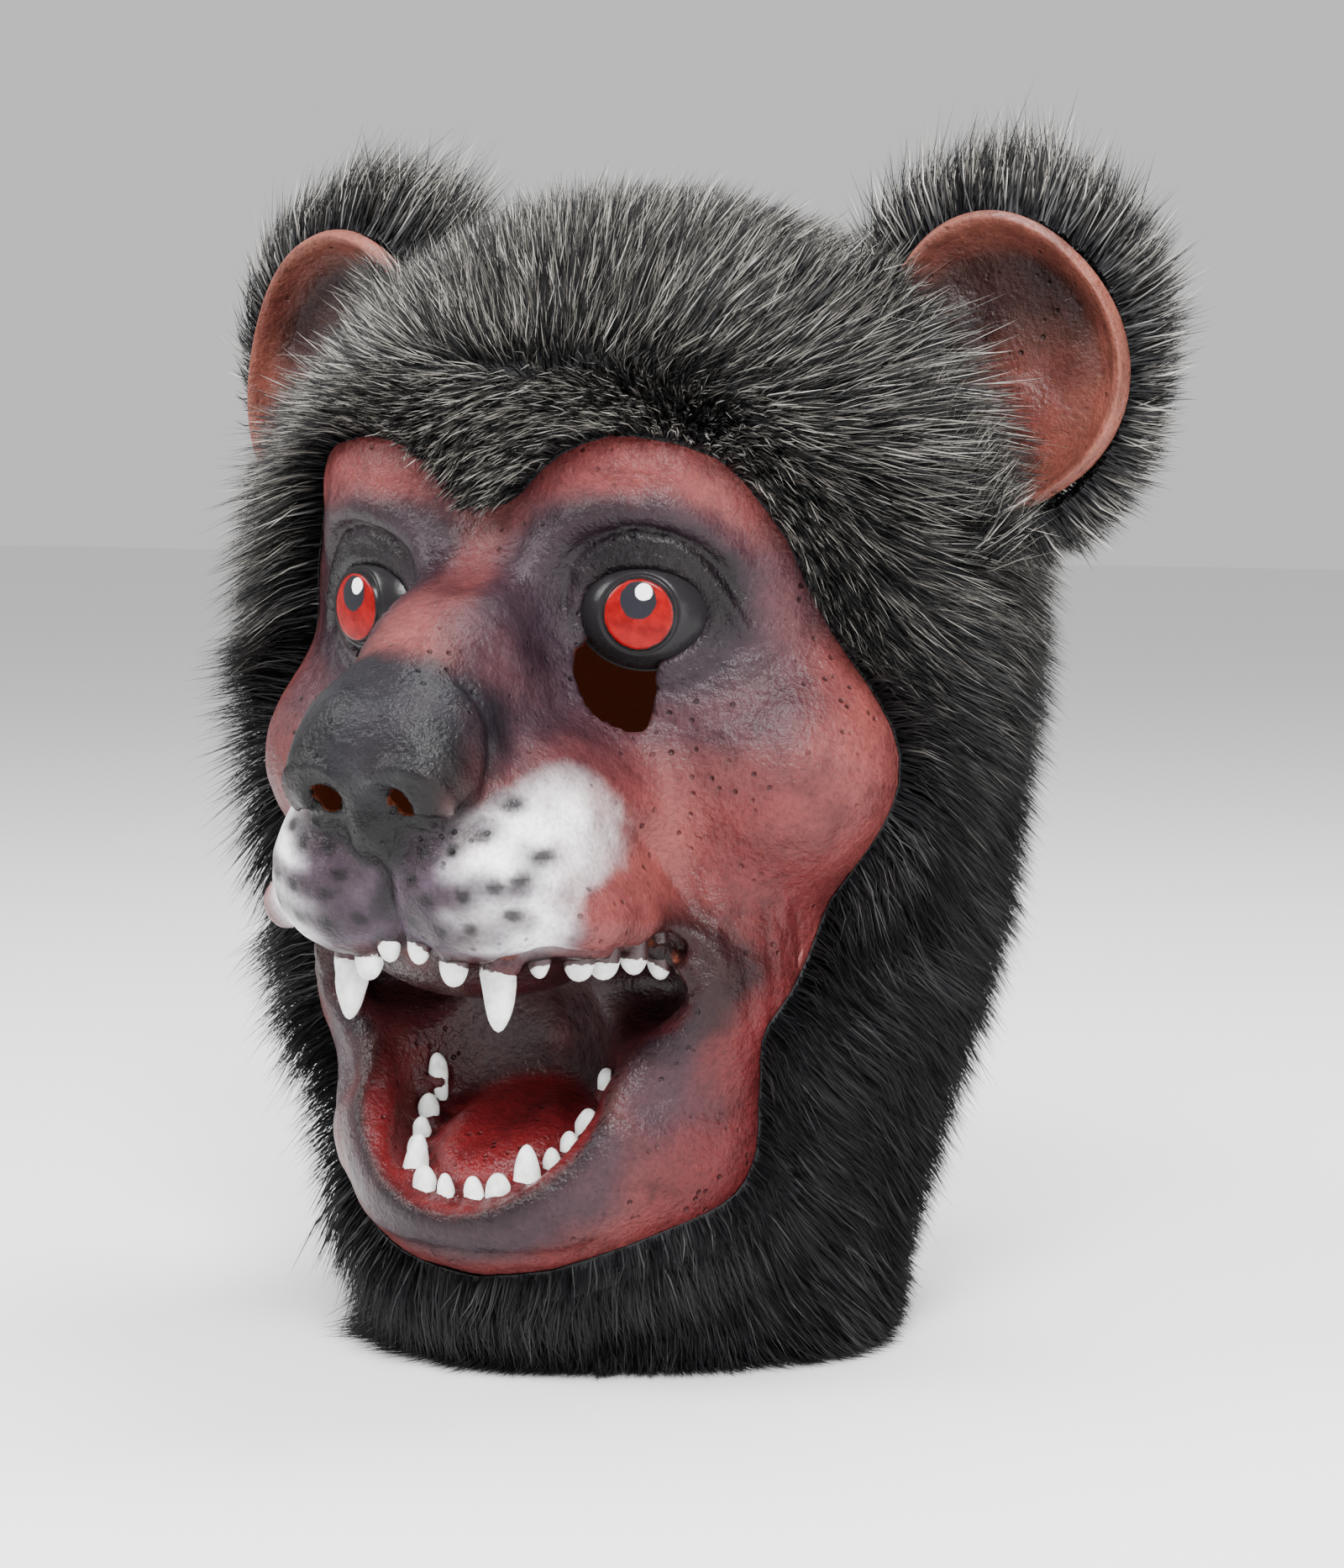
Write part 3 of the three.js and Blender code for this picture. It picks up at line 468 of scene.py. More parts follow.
def face_mesh():
    """Points and faces of the closed wall: one half as a distance field, mirrored, then meshed."""
    margin = 3 * FACE_VOXEL
    low = np.array([0.0, GRID_FRONT, FACE_LOW - margin])
    high = np.array([GRID_WIDTH, FACE_BACK + margin, FACE_HIGH + margin])
    counts = np.ceil((high - low) / FACE_VOXEL).astype(int)
    axes = [low[a] + FACE_VOXEL * np.arange(counts[a], dtype=np.float32) for a in range(3)]
    x, y, z = axes[0][:, None, None], axes[1][None, :, None], axes[2][None, None, :]
    base = head_distance(x, y, z)
    skin = base.copy()

    def lay(line, radius, sign, blend):
        """Adds a tube to the skin's field, or cuts it out, only where it reaches."""
        reach = np.max(radius) + blend + 2 * FACE_VOXEL
        lo = np.clip(np.floor((line.min(0) - reach - low) / FACE_VOXEL).astype(int), 0, counts - 1)
        hi = np.clip(np.ceil((line.max(0) + reach - low) / FACE_VOXEL).astype(int) + 1, 1, counts)
        cut = tuple(slice(a, b) for a, b in zip(lo, hi))
        bx, by, bz = x[cut[0]], y[:, cut[1]], z[:, :, cut[2]]
        d = tube_distance(line, radius, bx, by, bz)
        skin[cut] = soft_min(skin[cut], d, blend) if sign > 0 else -soft_min(-skin[cut], d, blend)

    for _, sign, points, radius, lift, blend in CREASES:
        line = seated(curve(points, 5), lift)
        taper = radius * np.sin(np.linspace(0.35, math.pi - 0.35, len(line))) ** 0.5
        lay(line, taper, sign, blend)
    ring, ring_radius = lid_ring()
    for points, radius in ((UPPER_FOLD, 2.5), (LOWER_FOLD, 1.5)):
        line = curve(points, 5)
        taper = np.sin(np.linspace(0.3, math.pi - 0.2, len(line))) ** 0.5
        for share, depth in FOLD_GROOVES:
            around = seated(EYE_MIDDLE + (line - EYE_MIDDLE) * share, 0.3)
            lay(around, depth * radius / 2 * taper, -1, 1.0)
        lay(seated(line), radius * taper, 1, 1.2)
    lay(ring, ring_radius, 1, 0.8)
    lay(seated(curve(LIP_UNDERSIDE, 4), -2.0), 4.0, -1, 3)
    for tooth in TEETH:
        if tooth["tip"][0] < 0:
            continue
        lay(np.array([tooth["gum"], tooth["gum"] + 0.2]), GUM_RADIUS[tooth["canine"]], 1, 2.0)
    nostril = np.array(NOSTRIL)
    lay(seated(curve(NOSTRIL_RIM, 4), 0.1), 1.7, 1, 1.6)
    lay(seated(nostril[None] + [[0, 0, 0], [0.1, 0, 0]], 0.6), 4.6, -1, 2.2)
    slit = curve(NOSTRIL_SLIT, 4)
    lay(seated(slit), np.linspace(2.2, 0.8, len(slit)), -1, 1.5)
    shell = np.maximum(skin, -np.maximum(base + LATEX_WALL, skin + THINNEST))
    aim = sight_aim()
    place = ray_hit(aim) + SIGHT_SHIFT
    shell = np.maximum(shell, -bore(x, y, z, aim, place, SIGHT_HOLE_WIDTH, SIGHT_HOLE_HEIGHT))
    slope = math.radians(NOSTRIL_SLOPE)
    out = np.array([0, -math.cos(slope), -math.sin(slope)])
    width, height = (share * NOSTRIL_HOLE for share in NOSTRIL_FIT)
    shell = np.maximum(shell, -bore(x, y, z, out, nostril, width, height))
    for outside in (y - FACE_BACK, FACE_LOW - z, z - FACE_HIGH):
        shell = np.maximum(shell, outside)
    whole = np.concatenate([shell[:0:-1], shell], axis=0).astype(np.float32)
    grid = openvdb.FloatGrid(3.0)
    grid.copyFromArray(np.ascontiguousarray(whole))
    points, triangles, quads = grid.convertToPolygons(isovalue=0.0, adaptivity=0.0)
    points = points * FACE_VOXEL + [low[0] - FACE_VOXEL * (counts[0] - 1), low[1], low[2]]
    faces = [tuple(f) for f in quads.tolist()] + [tuple(f) for f in triangles.tolist()]
    return points, faces


RAY_START = 4.0
RAY_STEP = 3.0
RAY_STEPS = 110
HALVINGS = 9


def ray_hit(direction):
    """Point where a ray from the heart first leaves the head, or many such points."""
    direction = np.atleast_2d(direction)
    shape = direction.shape[:-1]
    flat = direction.reshape(-1, 3)
    r = np.full(len(flat), RAY_START)
    going = np.ones(len(flat), bool)
    for _ in range(RAY_STEPS):
        idx = np.nonzero(going)[0]
        if not len(idx):
            break
        out = head_distance(*at(HEART + flat[idx] * r[idx, None])) >= 0
        going[idx[out]] = False
        r[idx[~out]] += RAY_STEP
    low, high = r - RAY_STEP, r.copy()
    for _ in range(HALVINGS):
        middle = (low + high) / 2
        inside = head_distance(*at(HEART + flat * middle[:, None])) < 0
        low = np.where(inside, middle, low)
        high = np.where(inside, high, middle)
    points = (HEART + flat * ((low + high) / 2)[:, None]).reshape(*shape, 3)
    return points[0] if len(points) == 1 else points


# ---- Making meshes ----

def make_object(name, points, faces, replaced, material):
    """A smooth-shaded piece on the part's one body, from points in the head's millimetres."""
    mesh = bpy.data.meshes.new(name)
    world = (np.asarray(points, float) + [0, AXIS_OFFSET, 0]) * MM
    mesh.from_pydata(world.tolist(), [], faces)
    mesh.update()
    mesh.polygons.foreach_set("use_smooth", np.ones(len(mesh.polygons), bool))
    piece = bpy.data.objects.new(name, mesh)
    bpy.context.scene.collection.objects.link(piece)
    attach(piece, "root")
    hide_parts(*replaced)
    mesh.materials.append(material)
    return piece


def give_floats(piece, name, values):
    layer = piece.data.attributes.new(name, "FLOAT", "POINT")
    layer.data.foreach_set("value", np.asarray(values, np.float32))


def give_paint(piece, colour, wet, glow):
    """The attributes that the latex's material reads."""
    layer = piece.data.attributes.new("paint", "FLOAT_COLOR", "POINT")
    rgba = np.ones((len(colour), 4), np.float32)
    rgba[:, :3] = colour
    layer.data.foreach_set("color", rgba.ravel())
    give_floats(piece, "wet", wet)
    give_floats(piece, "glow", glow)


def own_points(piece):
    """A piece's points in the head's millimetres."""
    return np.array([v.co for v in piece.data.vertices]) / MM - [0, AXIS_OFFSET, 0]


def weld(piece, distance):
    """Joins points closer than a distance in metres and turns the faces outward."""
    bm = bmesh.new()
    bm.from_mesh(piece.data)
    bmesh.ops.remove_doubles(bm, verts=bm.verts, dist=distance)
    bmesh.ops.recalc_face_normals(bm, faces=bm.faces)
    bm.to_mesh(piece.data)
    bm.free()


def ring_quads(columns, rings, first=0):
    """The corners of the cells of a grid whose columns close into a ring, and the grid's numbers."""
    number = first + np.arange(columns * rings).reshape(columns, rings)
    nxt = np.roll(number, -1, 0)
    quads = np.stack([number[:, :-1], number[:, 1:], nxt[:, 1:], nxt[:, :-1]], -1).reshape(-1, 4)
    return quads, number, nxt


def vertex_normals(points, faces):
    normals = np.zeros_like(points)
    quads = np.array([f for f in faces if len(f) == 4], int).reshape(-1, 4)
    triangles = np.array([f for f in faces if len(f) == 3], int).reshape(-1, 3)
    for f in (quads, triangles):
        if not len(f):
            continue
        n = np.cross(points[f[:, 2]] - points[f[:, 0]], points[f[:, -1]] - points[f[:, 1]])
        for k in range(f.shape[1]):
            np.add.at(normals, f[:, k], n)
    return unit(normals)


# ---- Paint ----

def linear(r, g, b):
    """A colour given as it looks, 0 to 255, as scene light."""
    c = np.array([r, g, b]) / 255
    return np.where(c <= 0.04045, c / 12.92, ((c + 0.055) / 1.055) ** 2.4)


SKIN = linear(109, 56, 54)
RUDDY = linear(78, 27, 29)
PURPLE = linear(42, 31, 38)
DARK = linear(9, 7, 9)
NOSE_GREY = linear(24, 22, 27)
WHITE = linear(246, 244, 247)
LILAC = linear(66, 56, 68)
MAROON = linear(62, 21, 23)
# Painted shade for the back of the mouth
MOUTH_BACK_SHADE = linear(34, 20, 22)
RED = linear(92, 22, 25)
THROAT = linear(56, 42, 44)
INNER = linear(120, 62, 40)
EAR_SKIN = linear(100, 56, 48)
# Painted shade for the top of the ear's bowl, under the rim
EAR_BOWL_SHADE = linear(16, 8, 8)
EAR_RIM = linear(122, 74, 62)
LEAST_PAINT = 0.002

# Airbrushed zones on one side: centre, radii, colour, strength, softness of the edge
ZONES = [
    ("forehead", (4, -92, 240), (22, 40, 22), PURPLE, 0.4, 0.9),
    ("forehead red", (36, -78, 244), (26, 40, 12), RUDDY, 0.45, 0.9),
    ("cheek red", (80, -52, 150), (16, 34, 24), RUDDY, 0.6, 0.9),
    ("cheek red low", (68, -52, 124), (14, 34, 24), RUDDY, 0.75, 0.9),
    ("jaw red", (60, -54, 70), (24, 34, 44), RUDDY, 0.95, 0.8),
    ("chin red", (0, -90, 30), (50, 34, 14), RUDDY, 0.6, 0.8),
    ("brow", (40, -76, 226), (30, 30, 11), PURPLE, 0.85, 0.8),
    ("brow dark", (34, -78, 226), (22, 30, 9), DARK, 0.9, 0.9),
    ("brow inner", (20, -90, 220), (12, 26, 16), PURPLE, 0.8, 0.8),
    ("temple", (72, -50, 208), (16, 34, 20), PURPLE, 0.7, 0.9),
    ("eye", (43, -70, 206), (34, 40, 26), PURPLE, 0.95, 0.5),
    ("eye dark", (43, -70, 206), (28, 40, 22), DARK, 0.9, 0.4),
    ("under eye", (60, -62, 184), (28, 34, 15), PURPLE, 0.75, 0.8),
    ("cheek dusk", (64, -60, 170), (26, 34, 12), PURPLE, 0.35, 0.9),
    ("bridge dusk", (9, -100, 215), (18, 34, 13), PURPLE, 0.45, 0.9),
    ("bridge side", (25, -100, 196), (14, 34, 26), PURPLE, 0.85, 0.8),
    ("muzzle side", (36, -100, 174), (20, 34, 15), PURPLE, 0.7, 0.8),
    ("pad rose", (44, -96, 160), (18, 30, 14), RUDDY, 0.35, 0.9),
    ("pad lilac", (12, -126, 137), (29, 26, 20), LILAC, 0.95, 0.6),
    ("pad lilac low", (24, -122, 126), (26, 26, 9), LILAC, 0.8, 0.7),
    ("pad white", (37, -108, 143), (10, 30, 19), WHITE, 1.0, 0.8),
    ("pad white in", (32, -118, 147), (10, 26, 10), WHITE, 0.85, 0.9),
    ("pad white low", (33, -118, 128), (13, 26, 8), WHITE, 0.7, 0.9),
    ("nose", (0, -124, 176), (30, 34, 23), NOSE_GREY, 1.0, 0.35),
    ("nose low", (0, -134, 158), (21, 16, 17), NOSE_GREY, 1.0, 0.45),
    ("nose sides", (17, -130, 164), (15, 17, 16), DARK, 0.95, 0.9),
    ("nose under", (0, -137, 150), (14, 14, 9), DARK, 0.9, 0.8),
    ("philtrum", (0, -132, 138), (4.0, 16, 20), DARK, 0.85, 0.8),
    ("lip edge", (30, -110, 116), (26, 40, 5), PURPLE, 0.55, 0.9),
    ("corner", (57, -68, 112), (15, 26, 17), DARK, 0.85, 0.7),
    ("jaw side", (50, -62, 86), (11, 30, 24), PURPLE, 0.85, 0.8),
    ("chin rim", (0, -98, 46), (38, 24, 12), PURPLE, 0.95, 0.7),
    ("chin rim side", (34, -84, 60), (13, 24, 15), PURPLE, 0.9, 0.7),
]

# Smudges of the whisker rows on one side: place and radius. The smudge's zone is so much wider and
# higher than that, and each has a dark dot.
SMUDGES = [
    (32.9, -116.8, 158.8, 3.0), (29.3, -125.2, 151.6, 3.0), (23.2, -129.4, 147.7, 3.2),
    (41.3, -115.5, 145.9, 2.8), (38.5, -121.8, 140.4, 2.8), (33.8, -126.4, 138.7, 3.0),
    (26.6, -130.0, 136.2, 3.4), (15.6, -130.8, 134.5, 3.8), (36.3, -122.3, 131.3, 3.2),
    (26.5, -126.8, 127.6, 3.6), (17.5, -127.3, 126.4, 3.6), (11.1, -130.5, 140.0, 3.0),
    (14.5, -131.5, 147.0, 2.6), (8.0, -128.0, 128.0, 3.2),
]
SMUDGE_SPREAD = (1.9, 1.25)
SMUDGE_DEPTH = 9
DOT_RADII = (2.1, 6, 1.9)


def zone_weight(points, centre, radii, softness):
    """1 in a rounded zone to 0 outside it, the same on both sides of the head."""
    x, y, z = np.abs(points[:, 0]), points[:, 1], points[:, 2]
    d = np.sqrt(((x - centre[0]) / radii[0]) ** 2 + ((y - centre[1]) / radii[1]) ** 2
                + ((z - centre[2]) / radii[2]) ** 2)
    return smooth(d, 1 + softness / 2, 1 - softness / 2)


def mix(colour, other, weight):
    return colour + (other - colour) * weight[:, None]


def paint_face(points, normals):
    """Colour, wetness and glow of the face's points. Only the inner side glows, with painted light."""
    ragged = points + 3.0 * np.stack([value_noise(points, 14, s) for s in (1, 2, 3)], -1)
    ragged = ragged + 1.2 * np.stack([value_noise(points, 5, s) for s in (4, 5, 6)], -1)
    colour = np.tile(SKIN, (len(points), 1))
    colour = mix(colour, RUDDY, 0.35 * smooth(value_noise(points, 22, 7), -0.2, 0.8))
    for _, centre, radii, tint, strength, softness in ZONES:
        colour = mix(colour, tint, strength * zone_weight(ragged, centre, radii, softness))
    wide, high = SMUDGE_SPREAD
    for *place, radius in SMUDGES:
        smudge = (radius * wide, SMUDGE_DEPTH, radius * high)
        colour = mix(colour, PURPLE, 0.75 * zone_weight(ragged, place, smudge, 1.1))
        colour = mix(colour, DARK, 0.85 * zone_weight(points, place, DOT_RADII, 0.8))
    x, y, z = at(points)
    cut = mouth_distance(x, y, z)
    closed = head_distance(x, y, z, leave_out=MOUTH_FORMS)
    lower = smooth(z, 104, 84)
    on_cut = smooth(cut, 3.2, 0.8)
    lip = smooth(cut, 9, 1.0) * (0.25 + 0.6 * lower)
    colour = mix(colour, DARK, lip * smooth(closed, -14, -1))
    inside = on_cut * smooth(closed, 0.6, -2.0)
    inside = np.maximum(inside, smooth(normals[:, 2], -0.45, -0.75) * smooth(cut, 12, 5)
                        * smooth(z, 96, 102) * smooth(z, 122, 117))
    wet = 0.8 * inside + 0.5 * lip
    colour = mix(colour, MAROON, inside)
    # Painted shade: the mouth's lining darkens toward its roof and under the upper lip
    colour = mix(colour, DARK, 0.7 * inside * smooth(z, 92, 106))
    # Painted shade: the lining darkens toward the back of the mouth, more so higher up
    deep = inside * smooth(y, -92, -52)
    colour = mix(colour, MOUTH_BACK_SHADE, 0.7 * deep * smooth(z, 70, 100))
    colour = mix(colour, THROAT, 0.8 * inside * zone_weight(ragged, (13, -48, 92), (12, 16, 24), 0.8))
    tongue = next(f for f in PLACED if f[0] == "tongue")
    on_tongue = smooth(form_distance(tongue, np.abs(x), y, z), 5, 0) * inside
    colour = mix(colour, RED, 0.85 * on_tongue)
    gum = inside * smooth(closed, -15, -7) * smooth(closed, -1, -4) * smooth(z, 92, 70)
    colour = mix(colour, RED, 0.6 * gum)
    # Painted shade: dark behind each upper tooth, where it runs up under the lip; the maroon behind each
    # lower tooth is the bare latex of its bump
    for tooth in TEETH:
        d = np.linalg.norm(points - (tooth["tip"] + [0, 0.5, tooth["sign"] * 6]), axis=1)
        colour = mix(colour, MAROON if tooth["sign"] < 0 else DARK, 0.8 * smooth(d, 6, 3.5))
    base = head_distance(x, y, z)
    facing = (normals * unit(slope_of(points))).sum(-1)
    hidden = smooth(base, -1.0, -1.9) * smooth(facing, 0.1, -0.4)
    colour = mix(colour, INNER, hidden)
    wrinkle = value_noise(points, 2.4, 9)
    colour = colour * (1 + 0.1 * wrinkle)[:, None]
    return np.clip(colour, LEAST_PAINT, 1), np.clip(wet, 0, 1), hidden


# Zones of fine wrinkles on one side: centre, radii, direction across the wrinkles, spacing and depth
WRINKLES = [
    ((58, -66, 184), (26, 30, 15), (0.15, 0.1, 1.0), 2.6, 0.55),
    ((26, -98, 190), (16, 30, 24), (1.0, 0.5, 0.15), 3.0, 0.45),
    ((12, -96, 232), (14, 26, 14), (1.0, 0.1, 0.35), 3.4, 0.5),
    ((74, -52, 118), (16, 40, 24), (0.9, 0.75, 0.25), 3.6, 0.6),
    ((38, -92, 172), (18, 30, 12), (0.35, 0.1, 1.0), 3.0, 0.35),
    ((60, -52, 96), (20, 34, 18), (0.8, 0.7, 0.6), 3.4, 0.4),
    ((0, -92, 34), (40, 24, 12), (0.1, 0.2, 1.0), 3.6, 0.3),
]


def wrinkle_depth(points):
    """How far the fine wrinkles draw the skin in."""
    depth = np.zeros(len(points))
    mirrored = points.copy()
    mirrored[:, 0] = np.abs(mirrored[:, 0])
    for i, (centre, radii, across, spacing, amount) in enumerate(WRINKLES):
        weight = zone_weight(points, centre, radii, 0.9)
        across = unit(np.array(across))
        along = np.outer(mirrored @ across, across)
        squeezed = mirrored - along * 0.78
        wander = value_noise(squeezed, 4.5 * spacing, 20 + i)
        line = value_noise(along + 0.22 * squeezed + wander[:, None] * 1.4, spacing * 0.8, 40 + i)
        depth += amount * weight * (1 - np.abs(line)) ** 3
    return depth


# ---- Back of the head and the fur's map ----

# The map's columns are planes through the chord from the mouth's pole to the foot's
MOUTH_POLE = unit(np.array([0, -1, -0.1]))
FOOT_POLE = unit(np.array([0, 0.12, -1]))
CHORD_MIDDLE = (MOUTH_POLE + FOOT_POLE) / 2
CHORD_AXIS = unit(FOOT_POLE - MOUTH_POLE)
CHORD_HALF = np.linalg.norm(FOOT_POLE - MOUTH_POLE) / 2
CHORD_OUT = unit(CHORD_MIDDLE)
CHORD_SIDE = np.cross(CHORD_OUT, CHORD_AXIS)


def direction(turn, share):
    """Ray from the heart at a turn (0 chin, pi crown) and a share from the mouth to the foot."""
    m = np.linalg.norm(CHORD_MIDDLE)
    shift = m * np.cos(turn)
    radius = np.sqrt(1 - (m * np.sin(turn)) ** 2)
    half = np.arctan2(CHORD_HALF, shift)
    angle = half * (1 - 2 * share)
    out = radius * np.cos(angle) - shift
    return (CHORD_MIDDLE - (radius * np.sin(angle))[..., None] * CHORD_AXIS
            + (out * np.cos(turn))[..., None] * CHORD_OUT + (out * np.sin(turn))[..., None] * CHORD_SIDE)


def inside_edge(around, level):
    """Whether places, by angle and share of height, lie on the bare face."""
    inside = np.zeros(around.shape, bool)
    for (a0, l0), (a1, l1) in zip(FACE_EDGE[:-1], FACE_EDGE[1:]):
        crosses = (l1 > level) != (l0 > level)
        cross = a1 + (level - l1) / (l0 - l1 if l0 != l1 else 1e-9) * (a0 - a1)
        inside ^= crosses & (around < cross)
    return inside


SHELL_COLUMNS = 144
SHELL_SAMPLES = 130
CHIN_CROWDING = 0.35
FOOT_HEIGHT = 0.4
FUR_RINGS = 64
HEAD_MIDDLE = np.array([0, HEAD_SET_BACK, 150.0])


def furred_map():
    """Skin points from just inside the face's edge to the foot, by column and ring, and where the
    fur's edge lies in each column."""
    even = 2 * np.pi * np.arange(SHELL_COLUMNS) / SHELL_COLUMNS
    turns = even + CHIN_CROWDING * np.sin(even)
    shares = np.linspace(0.08, 0.99, SHELL_SAMPLES)
    t, s = np.meshgrid(turns, shares, indexing="ij")
    points = ray_hit(direction(t, s))
    across, ahead = points[..., 0] / HEAD_WIDTH, (HEAD_SET_BACK - points[..., 1]) / HEAD_DEPTH
    around = np.abs(np.degrees(np.arctan2(across, ahead)))
    face = inside_edge(around, points[..., 2] / CROWN_HEIGHT)
    edge = np.array([shares[np.nonzero(row)[0].max()] if row.any() else shares[0] for row in face])
    edge += (shares[1] - shares[0]) / 2
    edge = (np.roll(edge, 1) + 2 * edge + np.roll(edge, -1)) / 4
    foot = []
    for i in range(SHELL_COLUMNS):
        z = points[i, :, 2]
        k = np.nonzero((z < FOOT_HEIGHT) & (shares > 0.4))[0]
        k = k.min() if len(k) else len(shares) - 1
        f = np.clip((z[k - 1] - FOOT_HEIGHT) / max(z[k - 1] - z[k], 1e-6), 0, 1)
        foot.append(shares[k - 1] + f * (shares[k] - shares[k - 1]))
    foot = np.array(foot)

    def sample(v):
        """Skin points at shares v of the way from the edge to the foot; v may be a little under 0."""
        share = edge[:, None] + (foot - edge)[:, None] * v[None, :]
        place = (share - shares[0]) / (shares[1] - shares[0])
        k = np.clip(np.floor(place).astype(int), 0, SHELL_SAMPLES - 2)
        f = (place - k)[..., None]
        rows = np.arange(SHELL_COLUMNS)[:, None]
        return points[rows, k] * (1 - f) + points[rows, k + 1] * f

    return sample


sample_skin = furred_map()


def grid_normals(points):
    """Outward normals of a grid round the head."""
    across = np.roll(points, -1, 0) - np.roll(points, 1, 0)
    n = unit(np.cross(across, np.gradient(points, axis=1)))
    return n * np.sign((n * (points - HEAD_MIDDLE)).sum(-1).mean())


def walled(outer, inner):
    """Closed wall between two grids of the same size, columns closed into a ring."""
    columns, rings = outer.shape[:2]
    points = np.concatenate([outer.reshape(-1, 3), inner.reshape(-1, 3)])
    front, number, nxt = ring_quads(columns, rings)
    past = columns * rings
    top = np.stack([number[:, 0], nxt[:, 0], nxt[:, 0] + past, number[:, 0] + past], -1)
    low = np.stack([number[:, -1] + past, nxt[:, -1] + past, nxt[:, -1], number[:, -1]], -1)
    return points, np.concatenate([front, front[:, ::-1] + past, top, low]).tolist()


# How far the back's wall laps under the face, as a share of a column, and how deep it lies there
BACK_LAP = 0.012
BACK_DEPTH = 0.9


def build_back():
    """The wall under the pile, from just under the face's edge to the neck's rim."""
    v = np.concatenate([np.linspace(-BACK_LAP, 0.0, 2), np.linspace(0.02, 1, 48)])
    outer = sample_skin(v)
    normals = grid_normals(outer)
    keep = np.where(outer[..., 2:] < 3, [1.0, 1.0, 0.0], 1.0)
    inner = outer - normals * keep * (LATEX_WALL + 0.3)
    outer = outer - normals * keep * BACK_DEPTH
    inner[..., 2] = np.maximum(inner[..., 2], FOOT_HEIGHT)
    points, faces = walled(outer, inner)
    piece = make_object("latex_back", points, faces, ["latex_head"], latex_material())
    count = outer.shape[0] * outer.shape[1]
    colour = np.concatenate([np.tile(SKIN, (count, 1)), np.tile(INNER, (count, 1))])
    # The inner side gets the painted glow
    give_paint(piece, colour, np.zeros(2 * count), np.repeat([0.0, 1.0], count))


# ---- Fur ----

STRAND_STATIONS = np.array([0.0, 0.52, 1.0])
STRAND_TAPER = np.array([1.0, 0.75, 0])

# Strands that share one lock, how far its tips draw together, and the least height of a strand
LOCK_SIZE = 14
LOCK_PULL = 0.4
FLOOR = 0.6

# How far strands swing aside, stray, sag and roll
SWING = 0.3
STRAY = 0.11
SAG = 0.08
ROLL = 1.2


def strand_mesh(rng, roots, normals, flow, depth, run, width):
    """Points, faces and shade values of ribbons that rise from the roots by their depth and lean along
    the flow by their run."""
    n = len(roots)
    flow = unit(flow - normals * (flow * normals).sum(-1, keepdims=True))
    side = np.cross(normals, flow)
    wave = np.stack([value_noise(roots, 19, s) for s in (61, 62, 63)], -1)
    swing = rng.normal(0, SWING, (n, 1)) + 0.5 * wave[:, :1]
    lean = unit(flow + side * swing + 0.15 * wave)
    t = STRAND_STATIONS[None, :, None]
    stray = rng.normal(0, STRAY, (n, 1, 3)) * depth[:, None, None]
    line = roots[:, None] + normals[:, None] * depth[:, None, None] * t**0.9
    line = line + lean[:, None] * run[:, None, None] * t**1.5 + stray * t
    line[..., 2] -= SAG * t[..., 0] ** 2 * depth[:, None]
    count = int(n / LOCK_SIZE)
    chosen = rng.choice(n, count, replace=False)
    tree = kdtree.KDTree(count)
    for i, c in enumerate(chosen):
        tree.insert(roots[c], i)
    tree.balance()
    owner = np.array([chosen[tree.find(p)[1]] for p in roots.tolist()])
    strength = LOCK_PULL * t**1.4 * rng.uniform(0.3, 1.2, (n, 1, 1))
    line = line + (line[owner] - line) * strength
    lock = rng.uniform(0, 1, n)[owner]
    line[..., 2] = np.maximum(line[..., 2], FLOOR + rng.uniform(0, 0.8, (n, 1)))
    tangent = unit(np.gradient(line, axis=1))
    roll = rng.uniform(-ROLL, ROLL, (n, 1, 1))
    flat = unit(np.cross(tangent, normals[:, None] + 0.3 * side[:, None]))
    other = np.cross(tangent, flat)
    across = flat * np.cos(roll) + other * np.sin(roll)
    half = width[:, None, None] / 2 * STRAND_TAPER[None, :, None]
    left, right = line - across * half, line + across * half
    points = np.concatenate([left[:, :2], right[:, :2], line[:, 2:]], axis=1)
    base = (np.arange(n) * 5)[:, None]
    faces = (base + [0, 2, 3, 1]).tolist() + (base + [1, 3, 4]).tolist()
    along = np.broadcast_to(STRAND_STATIONS[[0, 1, 0, 1, 2]], (n, 5))
    tone = np.clip(0.82 * rng.uniform(0, 1, n) ** 1.25 + 0.18 * lock, 0, 1)
    return points.reshape(-1, 3), faces, along.ravel(), np.repeat(tone, 5)


def fur_piece(name, points, faces, along, tone, node):
    """A piece of pile. along runs from root to tip, and tone says how pale a strand's tip is."""
    piece = make_object(name, points, faces, [node], fur_material())
    give_floats(piece, "along", along)
    give_floats(piece, "tone", tone)


def roots_on(points, normals, rng, count, weight):
    """Random places on a grid, by area and weight: position, normal, flow along the rings, ring share."""
    columns, rings = points.shape[:2]
    nxt = np.roll(points, -1, 0)
    a, b, c, d = points[:, :-1], nxt[:, :-1], nxt[:, 1:], points[:, 1:]
    area = np.linalg.norm(np.cross(c - a, d - b), axis=-1) / 2 * weight[:, :-1]
    chance = (area / area.sum()).ravel()
    cell = rng.choice(len(chance), count, p=chance)
    i, k = cell // (rings - 1), cell % (rings - 1)
    j = (i + 1) % columns
    u, w = rng.uniform(0, 1, (count, 1)), rng.uniform(0, 1, (count, 1))

    def blend(g):
        return (g[i, k] * (1 - u) + g[j, k] * u) * (1 - w) + (g[i, k + 1] * (1 - u) + g[j, k + 1] * u) * w

    flow = (points[i, k + 1] - points[i, k]) * (1 - u) + (points[j, k + 1] - points[j, k]) * u
    return blend(points), unit(blend(normals)), unit(flow), ((k + w[:, 0]) / (rings - 1))


